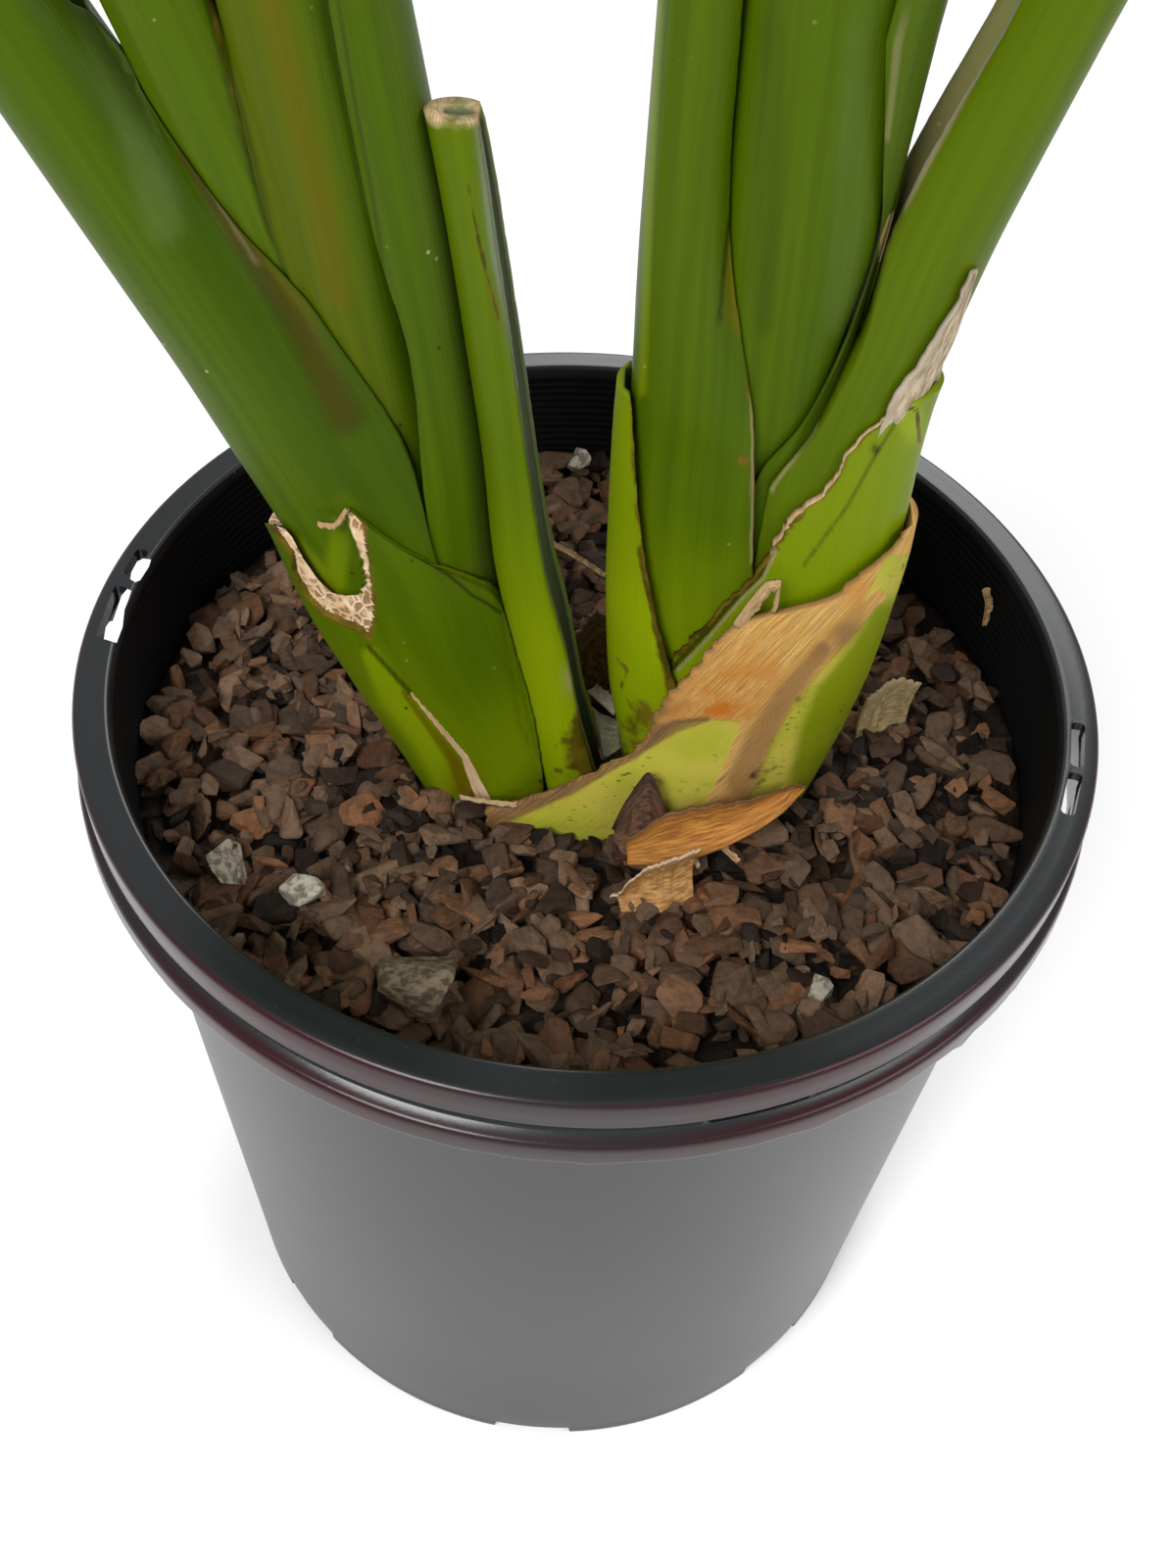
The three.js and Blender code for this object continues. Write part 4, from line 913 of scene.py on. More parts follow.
# Marks seen in the photograph, painted on the front of a stalk: mask, strength, half width in pixels (or
# one for each point, or two radii round a single point) and a line of pixels.
# Dark strokes are mostly painted shade along edges where a stalk turns under its neighbour
MARKS = {
    "leaf_l1": [
        # painted sheen
        ("bloom_and_sheen", 0.5, 22, [(88, 0), (130, 105), (168, 230)]),
        ("gold", 0.8, (5, 9, 15, 16), [(183, 155), (235, 232), (300, 315), (352, 425)]),
        # painted shade where the round body turns away
        ("dark", 0.75, (5, 9, 16, 22), [(183, 155), (235, 232), (300, 330), (352, 425)]),
        ("scar", 0.25, (1.5, 3), [(215, 196), (262, 268)]),
        ("tint_and_lighting", 0.5, 16, [(300, 560), (340, 600), (352, 520)]),
    ],
    "leaf_l2": [
        ("dark", 0.6, 5, [(212, 0), (227, 60), (247, 140), (264, 195), (277, 240)]),
        ("brown", 0.55, 4, [(214, 0), (229, 60), (249, 140), (266, 195), (279, 240)]),
    ],
    "leaf_l3": [
        ("gold", 0.5, 17, [(276, 0), (300, 100), (326, 200), (344, 300)]),
        # painted highlight on the rounded edge
        ("bloom_and_sheen", 0.8, (14, 11, 6), [(342, 0), (362, 110), (378, 215)]),
        ("dark", 0.5, 6, [(216, 0), (246, 120), (275, 240), (300, 310)]),
    ],
    "leaf_l4": [
        ("dark", 0.5, 2.6, [(345, 0), (365, 120), (380, 200), (395, 300), (404, 360)]),
        ("bloom_and_sheen", 1.3, (9, 7, 5), [(478, 0), (480, 200), (490, 400)]),
    ],
    "cut_stalk": [
        ("dry", 0.4, 4, [(440, 98), (455, 90), (478, 88), (497, 100)]),
        ("brown", 1.0, (4, 6), [(476, 165)]),
        ("brown", 0.75, 2.5, [(478, 190), (484, 225), (494, 270), (510, 330)]),
        ("bloom_and_sheen", 1.5, (14, 18, 20, 14), [(492, 110), (514, 260), (547, 400), (570, 520)]),
        ("brown", 0.5, 2.2, [(566, 738), (590, 734), (606, 742)]),
        ("brown", 0.5, 2.2, [(566, 760), (588, 757), (606, 764)]),
        ("brown", 0.5, 2.6, [(568, 786), (590, 784), (606, 790)]),
        ("scar", 0.85, (7, 12), [(583, 693)]),
        ("brown", 0.75, (26, 30), [(590, 760)]),
        ("brown", 0.6, (10, 60), [(600, 720)]),
    ],
    "old_sheath_left": [
        ("dark", 0.9, 3, [(376, 660), (398, 684), (419, 707)]),
        ("dry", 0.95, (1.6, 4, 9), [(419, 707), (474, 772), (493, 816)]),
        ("gold", 1.0, (3, 6, 7), [(412, 707), (463, 776), (480, 816)]),
        ("gold", 1.0, (22, 26), [(474, 800)]),
        ("brown", 0.8, (10, 14), [(484, 812)]),
        ("tint_and_lighting", 0.35, (10, 16, 16, 12), [(378, 668), (400, 710), (430, 750), (455, 800)]),
        ("tint_and_lighting", -0.22, (50, 70), [(480, 690)]),
        ("dark", 0.9, 2.2, [(370, 531), (394, 546), (404, 554), (422, 566), (437, 574)]),
        ("dark", 0.9, 2.2, [(437, 574), (455, 585), (470, 597), (481, 607), (496, 615), (510, 625)]),
        ("brown", 0.8, 4, [(277, 536), (298, 566), (301, 584), (315, 610), (333, 628), (370, 644)]),
        ("brown", 0.8, 4, [(370, 644), (376, 654), (382, 633), (381, 607), (376, 569), (370, 531)]),
    ],
    "short_sheath": [
        ("brown", 0.42, (4, 10, 22), [(652, 560), (674, 640), (696, 712)]),
        ("dark", 0.4, (3, 7, 12), [(652, 560), (674, 640), (696, 712)]),
        ("brown", 0.6, 3, [(630, 672), (640, 684), (634, 700)]),
        ("brown", 0.7, (20, 30), [(656, 735)]),
    ],
    "spear_sheath": [
        ("dark", 1.0, 4.5, [(788, 560), (774, 587), (754, 606), (735, 628), (716, 650), (687, 681)]),
        ("scar", 0.9, 1.8, [(792, 562), (779, 590), (758, 610), (739, 632), (720, 654), (690, 685)]),
        ("tint_and_lighting", 0.9, (9, 16), [(930, 430)]),
        ("dark", 0.6, 2.2, [(918, 425), (893, 465), (865, 516), (820, 577)]),
        ("dark", 1.0, (4, 5), [(893, 458)]),
        ("brown", 0.9, 2.4, [(905, 425), (922, 416), (936, 418), (938, 450)]),
        ("brown", 0.7, (6, 7), [(838, 490)]),
        ("brown", 0.7, (5, 6), [(815, 527)]),
    ],
    "leaf_r1": [
        ("dark", 0.9, 2.4, [(766, 0), (754, 100), (751, 159), (746, 212), (741, 249), (734, 328)]),
        # painted highlight stripe
        ("tint_and_lighting", 0.4, 6, [(672, 0), (662, 200), (655, 400)]),
        ("gold", 0.8, (3, 9, 10), [(742, 249), (748, 300), (752, 330)]),
        ("scar", 0.6, 1.8, [(766, 380), (768, 450), (767, 575)]),
        ("brown", 0.8, 2.2, [(770, 385), (772, 450), (770, 570)]),
        ("brown", 1.0, (4, 5), [(758, 470)]),
        ("dry", 0.8, (7, 8), [(776, 505)]),
    ],
    "leaf_r2": [
        ("bloom_and_sheen", 0.3, (15, 18, 20), [(877, 0), (868, 160), (860, 328)]),
        ("dark", 0.3, 14, [(793, 0), (786, 180), (778, 330)]),
    ],
    "leaf_r3": [
        ("scar", 0.4, (6, 3), [(921, 0), (905, 145)]),
        ("tint_and_lighting", 0.7, 2.2, [(902, 0), (896, 90)]),
        ("dry", 0.8, (2.6, 4, 2), [(910, 217), (902, 242), (897, 265)]),
    ],
    "leaf_r4": [
        ("scar", 1.0, (8, 7), [(1032, 0), (922, 205)]),
        ("scar", 0.6, 2.2, [(835, 430), (810, 468), (787, 500)]),
    ],
    "old_sheath_right": [
        ("brown", 0.7, (7, 9, 10, 8, 4), [(505, 837), (580, 803), (640, 768), (689, 742), (722, 734)]),
        ("brown", 0.3, (12, 18, 20, 16, 12), [(505, 832), (580, 792), (640, 752), (689, 726), (725, 720)]),
        ("orange", 0.9, (30, 11), [(736, 724)]),
        ("orange", 0.3, (10, 18, 22), [(600, 785), (690, 724), (780, 690)]),
        ("orange", 0.3, (70, 45), [(730, 680)]),
        (
            "brown", 0.3, (10, 16, 22, 26, 26, 24),
            [(897, 608), (850, 656), (806, 706), (780, 748), (762, 790), (745, 825)],
        ),
        ("brown", 0.36, (10, 14, 18, 20), [(838, 664), (798, 714), (776, 752), (756, 796)]),
        ("dark", 0.24, (6, 10, 12, 12), [(862, 652), (818, 716), (796, 756), (776, 796)]),
        ("dark", 0.42, (26, 28), [(772, 790)]),
        ("brown", 0.24, (26, 16), [(866, 640)]),
        ("dark", 0.5, (20, 10), [(668, 800)]),
        ("dark", 0.35, (34, 12), [(560, 820)]),
        ("orange", 0.6, (18, 14), [(872, 602)]),
        ("brown", 0.28, (24, 22), [(862, 655)]),
    ],
}
SHEATH_DRY_LINE = [
    (500, 838), (510, 832), (580, 800), (640, 762), (689, 736), (725, 732),
    (765, 736), (790, 705), (840, 655), (885, 605), (905, 565),
]
SHEATH_FOLD = [(897, 608), (850, 658), (800, 710), (770, 750), (755, 790), (735, 830)]
SHEATH_KEEL_LINE = [(905, 560), (898, 611), (868, 660), (834, 702), (816, 745), (806, 795)]
# Stalks whose inner face shows beside the margin
INNER_SEEN = ("leaf_r4",)


def paint_marks(name, points, outer, masks):
    """Add the marks of a stalk to its masks, on the side the photograph shows."""
    shown = (outer | (name in INNER_SEEN)) & (points[:, 1] < STALKS[name]["y"])
    pixels = to_pixels(points[shown])
    for mask, strength, width, line in MARKS.get(name, ()):
        cover = blob(pixels, line[0], width) if len(line) == 1 else stroke(pixels, line, width)
        masks[mask][shown] += strength * cover
    if name == "old_sheath_right":
        dried = smoothstep(-9, 5, above(pixels, SHEATH_DRY_LINE))
        masks["green"][shown] = (1 - dried) * (1 - stroke(pixels, SHEATH_FOLD, (8, 10, 15, 20, 22, 22)))
        keel = smoothstep(-7, 7, right_of(pixels, SHEATH_KEEL_LINE)) * smoothstep(600, 625, pixels[:, 1])
        masks["green"][shown] = np.maximum(masks["green"][shown], keel)
        masks["keel"][shown] += keel


def stalk_masks(name, points, z, q, from_margin, outer):
    """Colour masks of a stalk at its points, each from about 0 to 1."""
    x, y = points[:, 0], points[:, 1]
    masks = {key: np.zeros(len(x)) for key in dict.fromkeys(LEAF_MASKS[:-2] + STRAW_MASKS)}
    inside = np.clip(from_margin, 0, None)
    low = smoothstep(245, 222, z)
    edge = np.exp(-inside / 0.9)
    masks["brown"] += 0.35 * low + 0.25 * edge
    # Painted shade on inner faces down in the nest, and slightly darker margins
    masks["dark"] += 0.15 * edge + 0.7 * ~outer * smoothstep(440, 400, z)
    masks["tint_and_lighting"] += 0.35 * smoothstep(300, 250, z)
    if name == "leaf_l1":
        # Painted light: the lit edge by the keel paler, the body beyond it darker in painted shade
        masks["tint_and_lighting"] += 0.2 * np.exp(-q / 6) - 0.35 * smoothstep(16, 28, q) * smoothstep(265, 330, z)
        masks["tint_and_lighting"] -= 0.12 + 0.12 * smoothstep(330, 380, z)
    elif name == "leaf_l3":
        masks["gold"] += 0.28 * smoothstep(2, 12, q) * smoothstep(620, 520, z)
        masks["tint_and_lighting"] -= 0.15
    elif name == "leaf_l4":
        masks["bloom_and_sheen"] += 0.3 * bump(1.5, 2.5, q)
        masks["tint_and_lighting"] -= 0.3 * bump(9, 8, q) * smoothstep(300, 360, z)
    elif name == "cut_stalk":
        masks["tint_and_lighting"] += 0.22 + 0.3 * smoothstep(340, 280, z)
        masks["bloom_and_sheen"] += 1.2 * ~outer
        masks["dark"] -= 0.6 * ~outer
        masks["dry"] += 0.55 * smoothstep(407, 408.5, z)
        masks["brown"] += 0.3 * smoothstep(404, 406, z)
    elif name == "old_sheath_left":
        masks["tint_and_lighting"] += 0.08
        masks["tint_and_lighting"] += 0.5 * ~outer
        masks["dark"] -= 0.4 * ~outer
    elif name == "short_sheath":
        masks["tint_and_lighting"] += 0.6 + 0.5 * smoothstep(320, 250, z)
        masks["brown"] += 0.5 * np.exp(-inside / lerp(1.2, 4.5, smoothstep(300, 235, z)))
        masks["brown"] += 0.3 * smoothstep(250, 230, z)
    elif name == "spear_sheath":
        masks["tint_and_lighting"] += 0.55
        masks["dry"] += 0.6 * np.exp(-inside / 0.8) * smoothstep(300, 318, z)
        masks["brown"] += 0.6 * np.exp(-inside / 1.8)
    elif name == "leaf_r1":
        # Painted shade on the side away from the light
        masks["tint_and_lighting"] -= 0.35 * smoothstep(13, 18, q) * smoothstep(300, 360, z)
        masks["brown"] += 0.4 * np.exp(-inside / 1.6) * smoothstep(395, 340, z)
        masks["tint_and_lighting"] += 0.06 + 0.3 * smoothstep(330, 290, z)
    elif name == "leaf_r2":
        # Painted shade on the side away from the light
        masks["tint_and_lighting"] -= 0.3 * smoothstep(12, 22, q)
    elif name == "leaf_r4":
        masks["brown"] += 0.12 * np.exp(-inside / 2.0)
        masks["dark"] -= 0.6 * ~outer
        masks["scar"] += 0.6 * ~outer * smoothstep(375, 395, z)
        masks["tint_and_lighting"] += 0.2
    elif name == "leaf_r3":
        masks["bloom_and_sheen"] += 0.2 * bump(3, 3.5, q)
        masks["tint_and_lighting"] -= 0.25
    elif name == "old_sheath_right":
        back = y >= STALKS[name]["y"]
        masks["green"] += back * smoothstep(290, 265, z) + 0.4 * ~outer
        masks["dark"] -= 0.5 * ~outer
        masks["brown"] += 0.4 * np.exp(-inside / 3.0)
    paint_marks(name, points, outer, masks)
    return masks


def refine(values, factor):
    """Rows of values round a ring with straight steps put between its points."""
    values = np.asarray(values, float)
    after = np.roll(values, -1, axis=1)
    steps = [lerp(values, after, i / factor) for i in range(factor)]
    return np.stack(steps, axis=2).reshape(values.shape[0], -1, *values.shape[2:])


SHEATH_FIBRE_SLOPE = 0.54
# Height between rings in mm, and how many straight steps replace each one round a ring
FINENESS = {
    "old_sheath_right": (0.6, 3), "old_sheath_left": (0.6, 3), "spear_sheath": (0.9, 2),
    "short_sheath": (1.0, 1),
}


def make_stalk(name, materials):
    """One leaf or sheath, from under the mulch to its blade's tip or its torn top."""
    stalk = STALKS[name]
    side = stalk["side"]
    rows = stalk["rows"]
    top_z = NEST_TOP_Z if name in LEAVES else rows[-1][0]
    step, factor = FINENESS.get(name, (NEST_STEP, 1))
    heights = np.round(np.linspace(NEST_LOW_Z, top_z, int((top_z - NEST_LOW_Z) / step) + 1), 4)
    rings, q_all, margin_all, along_all, blade_all, across_all = [], [], [], [], [], []
    for z in heights:
        z = float(z)
        outline = nest_outline(name, z)
        row = row_at(name, z)
        ring = np.empty((len(outline), 3))
        ring[:, 0] = row[0] + side * outline[:, 0]
        ring[:, 1] = stalk["y"] + outline[:, 1]
        ring[:, 2] = z
        reach = np.where(outline[:, 1] > 0, side * (row[4] - row[0]), side * (row[3] - row[0]))
        rings.append(ring)
        q_all.append(outline[:, 0])
        margin_all.append(reach - outline[:, 0])
        along_all.append(np.full(len(outline), z))
        blade_all.append(np.zeros(len(outline)))
        across_all.append(np.full(len(outline), 20.0))
    count = len(rings[0])
    if name in LEAVES:
        more, alongs = leaf_path(name)
        rings += more
        thick = LEAVES[name]["thick"]
        for s, outline in alongs:
            q_all.append(outline[:, 0] + thick / 2)
            margin_all.append(np.full(count, 12.0))
            along_all.append(np.full(count, s))
            on_blade = smoothstep(0, 30, s - NEST_TOP_Z - LEAVES[name]["stalk"])
            blade_all.append(np.full(count, float(on_blade)))
            across_all.append(np.abs(outline[:, 1]))
    index = np.arange(count)
    half_way = np.where(index <= count // 2, index, count - index) * 1.0
    is_outer = ((index <= len(OUTER_T)) | (index > count - 1 - len(OUTER_T))) * 1.0
    rings = refine(rings, factor)
    per_point = (q_all, margin_all, along_all, blade_all, across_all)
    q, from_margin, along, blade, across = [refine(v, factor).ravel() for v in per_point]
    around = np.tile(refine([half_way], factor)[0], len(rings))
    outer = np.tile(refine([is_outer], factor)[0], len(rings)) > 0.5
    rows_count, count = rings.shape[:2]
    points = rings.reshape(-1, 3)
    faces = tube_faces(rows_count, count)
    masks = stalk_masks(name, points, along, q, from_margin, outer)
    if name == "old_sheath_right":
        q = q + SHEATH_FIBRE_SLOPE * along
    fine = {
        "blade": blade, "across": across, "inset": from_margin,
        "around": q * 0.8 + around * 0.15, "along": along,
    }
    return make_object(name + "_look", points, faces, materials, [name], attributes={**masks, **fine})


# The left sheath's scooped cut. The opening's lower edge and the outer edge of the cut face are pixels.
CUT_OPENING = [
    (240, 380), (362, 380), (356, 519), (353, 536), (358, 548), (366, 571), (370, 594), (366, 607),
    (353, 608), (339, 605), (325, 592), (310, 571), (298, 548), (291, 540), (277, 535), (240, 528),
]
CUT_FACE = [
    (277, 536), (298, 566), (301, 584), (315, 610), (333, 628), (370, 644), (376, 654), (382, 633),
    (381, 607), (376, 569), (370, 531), (362, 522), (353, 518), (353, 536), (358, 548), (366, 571),
    (370, 594), (366, 607), (353, 608), (339, 605), (325, 592), (310, 571), (298, 548), (291, 540),
]
CUT_NEAR_Y, CUT_FAR_Y = -62.0, -14.0
CUT_FACE_DEEP = 1.3
BACK_CUT_X, BACK_CUT_Y, BACK_CUT_Z = (-120, 0), (-16, 60), (300, 330)


def within(pixels, corners):
    """True for pixels within a polygon."""
    corners = np.asarray(corners, float)
    x, y = pixels.T
    crossings = np.zeros(len(x), int)
    for (ax, ay), (bx, by) in zip(corners, np.roll(corners, -1, axis=0)):
        spans = (ay > y) != (by > y)
        at = ax + (y - ay) * (bx - ax) / np.where(by == ay, 1e-9, by - ay)
        crossings += spans & (x < at)
    return crossings % 2 == 1


def solid_object(name, points, faces, material_index=0):
    """A bare helper solid for a boolean, in mm."""
    mesh = bpy.data.meshes.new(name)
    mesh.from_pydata((np.asarray(points, float) * MM).tolist(), [], faces)
    clean = bmesh.new()
    clean.from_mesh(mesh)
    bmesh.ops.recalc_face_normals(clean, faces=clean.faces)
    clean.to_mesh(mesh)
    clean.free()
    for polygon in mesh.polygons:
        polygon.material_index = material_index
    thing = bpy.data.objects.new(name, mesh)
    bpy.context.scene.collection.objects.link(thing)
    return thing


def cut_away(thing, cutters, careful=False):
    """Take helper solids out of an object for good."""
    for cutter in cutters:
        change = thing.modifiers.new("cut", "BOOLEAN")
        change.operation = "DIFFERENCE"
        change.solver = "EXACT"
        change.use_self = careful
        change.object = cutter
    bpy.context.view_layer.update()
    evaluated = thing.evaluated_get(bpy.context.evaluated_depsgraph_get())
    mesh = bpy.data.meshes.new_from_object(evaluated)
    thing.modifiers.clear()
    thing.data = mesh
    for cutter in cutters:
        bpy.data.objects.remove(cutter)


def cut_left_sheath(sheath):
    """Scoop the cut face into the sheath, colour it as flesh and open the sheath above it."""
    mesh = sheath.data
    places = np.empty(len(mesh.vertices) * 3)
    mesh.vertices.foreach_get("co", places)
    places = places.reshape(-1, 3) / MM
    pixels = to_pixels(places)
    near = places[:, 1] < LEFT_Y
    scooped = within(pixels, CUT_FACE) & near
    normals = np.array([v.normal for v in mesh.vertices])
    facing = scooped & (normals[:, 1] < 0)
    inset = np.empty(len(mesh.vertices), np.float32)
    mesh.attributes["inset"].data.foreach_get("value", inset)
    deep = np.where(facing, np.clip(0.3 + 0.05 * inset, 0.2, CUT_FACE_DEEP), 0)
    inwards = deep[:, None] * np.array([0.0, 1.0, 0.0])
    mesh.vertices.foreach_set("co", ((places + inwards) * MM).ravel())
    for polygon in mesh.polygons:
        if len(polygon.vertices) < 5 and facing[list(polygon.vertices)].all():
            polygon.material_index = 1
    near_edge, far_edge = from_pixels(CUT_OPENING, CUT_NEAR_Y), from_pixels(CUT_OPENING, CUT_FAR_Y)
    opening = prism("opening", near_edge, far_edge, 1)
    box = [[x, y, z] for x in BACK_CUT_X for y in BACK_CUT_Y for z in BACK_CUT_Z]
    box_faces = [[0, 1, 3, 2], [4, 6, 7, 5], [0, 4, 5, 1], [2, 3, 7, 6], [0, 2, 6, 4], [1, 5, 7, 3]]
    cut_away(sheath, [opening, solid_object("back_cut", box, box_faces, 1)], careful=True)


# Loose dead pieces. Lower and upper edges in mm, thickness, and how far the middle swells to the viewer.
SCRAPS = {
    "bud_scale": dict(
        lower=[(8, -39.5, 217), (13, -42, 216), (19, -42.2, 216), (24, -39.5, 217)],
        upper=[(9, -38.6, 228), (13.6, -38, 244), (16.4, -38, 249), (22.6, -38.4, 229)],
        thick=1.6, swell=3.0, ragged=0.05,
    ),
    "dried_curl_large": dict(
        lower=[
            (13, -46.5, 223), (22, -46.5, 224), (32, -44.5, 226.5), (41, -41, 229.5),
            (50, -36.3, 234), (56.3, -30.3, 238.2),
        ],
        upper=[
            (11.9, -44, 228.7), (20.8, -42, 237.9), (30.1, -40, 240.6), (38.6, -37.5, 239.7),
            (47.9, -34, 240.2), (56.2, -30, 239),
        ],
        thick=1.0, swell=2.6, ragged=0.5,
    ),
    "dried_curl_small": dict(
        lower=[(12, -58, 219), (20, -58.5, 219), (30, -54, 220)],
        upper=[(9, -57, 223), (20, -53, 233), (30, -49.5, 235)],
        thick=1.0, swell=3.0, ragged=0.8,
    ),
    "tan_scrap": dict(
        lower=[(74, -2, 217), (80, 3, 217), (88, 8, 218)],
        upper=[(76, 8, 232), (83, 12, 236), (91, 15, 233)],
        thick=1.1, swell=1.6, ragged=0.6,
    ),
    "dead_sheath": dict(
        lower=[(-4, 8, 216), (2, 12, 216), (9, 12, 217)],
        upper=[(-5, 10, 247), (1, 15, 252), (7, 16, 243)],
        thick=1.3, swell=1.5, ragged=0.7,
    ),
}


def make_strip(name, scrap, material, nodes=()):
    """A curled dry piece between two edges, swollen in the middle and ragged along its upper edge."""
    lower, upper = np.array(scrap["lower"], float), np.array(scrap["upper"], float)
    knots = np.linspace(0, 1, len(lower))
    u = np.linspace(0, 1, 49)
    v = np.linspace(0, 1, 17)
    low = np.stack([pchip(knots, lower[:, i], u) for i in range(3)], -1)
    high = np.stack([pchip(knots, upper[:, i], u) for i in range(3)], -1)
    seed = sum(map(ord, name))
    ragged = scrap["ragged"] * (wobble(u * 30, seed, 2.0) + 0.6 * wobble(u * 30, seed + 1, 0.6) - 0.5)
    length = np.linalg.norm(high - low, axis=1, keepdims=True)
    high = high + (high - low) / length * ragged[:, None]
    off = np.cross(np.gradient(low, axis=0), high - low)
    off /= np.linalg.norm(off, axis=1, keepdims=True)
    swell = scrap["swell"] * np.sin(np.pi * v)[None, :, None]
    folds = 0.35 * wobble(u * 40, seed + 5, 3.0)[:, None, None] * np.sin(np.pi * v)[None, :, None]
    sheet = lerp(low[:, None, :], high[:, None, :], v[None, :, None])
    front = sheet - off[:, None, :] * (swell + folds)
    rear = front + off[:, None, :] * scrap["thick"]
    rows, columns = len(u), 2 * len(v)
    points = np.concatenate([front, rear[:, ::-1]], axis=1).reshape(-1, 3)
    faces = tube_faces(rows, columns)
    share = np.tile(np.concatenate([v, v[::-1]]), rows)
    fine = {
        "around": share * 0.13, "along": np.repeat(u, columns) * 0.04,
        "rim": smoothstep(0.86, 1.0, share),
    }
    return make_object(name + "_look", points, faces, [material], nodes, attributes=fine)


# Small torn pieces: both edges in pixels, and the depth y or the height z that they are at
TORN_BITS = {
    "tan_curl": dict(
        edges=([(748, 637), (766, 612), (784, 594), (797, 593), (794, 620)],
               [(757, 642), (775, 621), (787, 605), (792, 604), (787, 625)]),
        y=-29.5, tone="tan",
    ),
    "cut_tip": dict(
        edges=([(276, 537), (287, 545), (299, 556)],
               [(279, 530), (292, 535), (304, 546)]),
        y=-17, tone="pale",
    ),
    "cut_strand": dict(
        edges=([(324, 533), (338, 535), (352, 519)],
               [(325, 538), (341, 541), (357, 521)]),
        y=-28.4, tone="tan",
    ),
    "sheath_fray": dict(
        edges=([(896, 606), (906, 582), (918, 560)],
               [(909, 606), (915, 586), (922, 563)]),
        y=-15, tone="pale",
    ),
    "wall_chip": dict(
        edges=([(1002, 602), (1005, 618), (1002, 638)],
               [(1010, 600), (1013, 618), (1008, 637)]),
        y=42, tone="tan",
    ),
    "stick_tan": dict(
        edges=([(726, 859), (738, 869), (751, 881)],
               [(731, 855), (743, 866), (756, 878)]),
        z=225.5, tone="tan",
    ),
    "stick_pale": dict(
        edges=([(704, 867), (706, 876), (711, 886)],
               [(708, 866), (710, 875), (714, 884)]),
        z=225.5, tone="pale",
    ),
    "stick_far": dict(
        edges=([(562, 557), (590, 573), (616, 590)],
               [(565, 553), (593, 569), (618, 586)]),
        z=226, tone="tan",
    ),
    "dead_stem": dict(
        edges=([(589, 694), (603, 735), (613, 776)],
               [(594, 692), (608, 733), (618, 774)]),
        z=226, tone="brown",
    ),
    "green_scrap": dict(
        edges=([(604, 722), (611, 748), (616, 773)],
               [(622, 733), (647, 749), (622, 772)]),
        z=226, tone="sage",
    ),
    "fibres": dict(
        edges=([(468, 811), (520, 818), (573, 806)],
               [(470, 816), (521, 823), (575, 811)]),
        z=228, tone="tan",
    ),
    "grey_piece": dict(
        edges=([(599, 706), (612, 718), (626, 731)],
               [(609, 699), (621, 708), (634, 717)]),
        z=227, tone="pale",
    ),
}
BIT_THICK = 0.7


def make_torn_bits(tones):
    for name, bit in TORN_BITS.items():
        place, level = (from_pixels, bit["y"]) if "y" in bit else (at_height, bit["z"])
        lower, upper = (place(line, level) for line in bit["edges"])
        scrap = dict(lower=lower, upper=upper, thick=BIT_THICK, swell=0.6, ragged=0.35)
        make_strip(name, scrap, tones[bit["tone"]])


# Dried spear leaf that stands at the sheath's tip, before the stalk behind it: height, left and right x
SPEAR_ROWS = [
    (344, 57, 69.6), (350, 58.2, 70), (356, 59.4, 70.1), (364, 63, 70.1), (374, 66.2, 70.2),
    (385, 69.2, 70.4),
]
SPEAR_THICK = 1.1


def make_spear(material):
    columns = list(zip(*SPEAR_ROWS))
    heights = np.linspace(columns[0][0], columns[0][-1], 60)
    share = np.linspace(0, 1, 15)
    rows = []
    for z in heights:
        z = float(round(z, 3))
        left, right = (float(pchip(columns[0], column, z)) for column in columns[1:])
        left += 0.5 * float(wobble(z, 5, 3.0))
        x = lerp(left, right, share)
        rear = RIGHT_Y - np.interp(x, GRID, outside("leaf_r4", z, False)) - GAP
        fold = 0.5 * np.sin(share * 9 + z * 0.05) + 0.9 * smoothstep(0.25, 0, share)
        front = rear - SPEAR_THICK - np.clip(fold, 0, None)
        near = np.stack([x, front, np.full_like(x, z)], -1)
        far = np.stack([x, rear, np.full_like(x, z)], -1)
        rows.append(np.concatenate([near, far[::-1]]))
    count = len(rows[0])
    faces = tube_faces(len(rows), count)
    around = np.tile(np.concatenate([share, share[::-1]]), len(rows))
    fine = {
        "around": around * 0.06, "along": np.repeat(heights, count) * 0.0012,
        "rim": smoothstep(0.3, 0.0, around),
    }
    return make_object("spear_leaf", np.concatenate(rows), faces, [material], attributes=fine)


# Pot

def arc(cx, cz, radius, start, end, steps):
    """Points of a round stretch of a profile, angles in degrees."""
    angles = np.radians(np.linspace(start, end, steps))
    return [(cx + radius * math.cos(a), cz + radius * math.sin(a)) for a in angles]


def body_radius(z):
    return lerp(FOOT_R, BODY_TOP_R, z / COLLAR_Z)


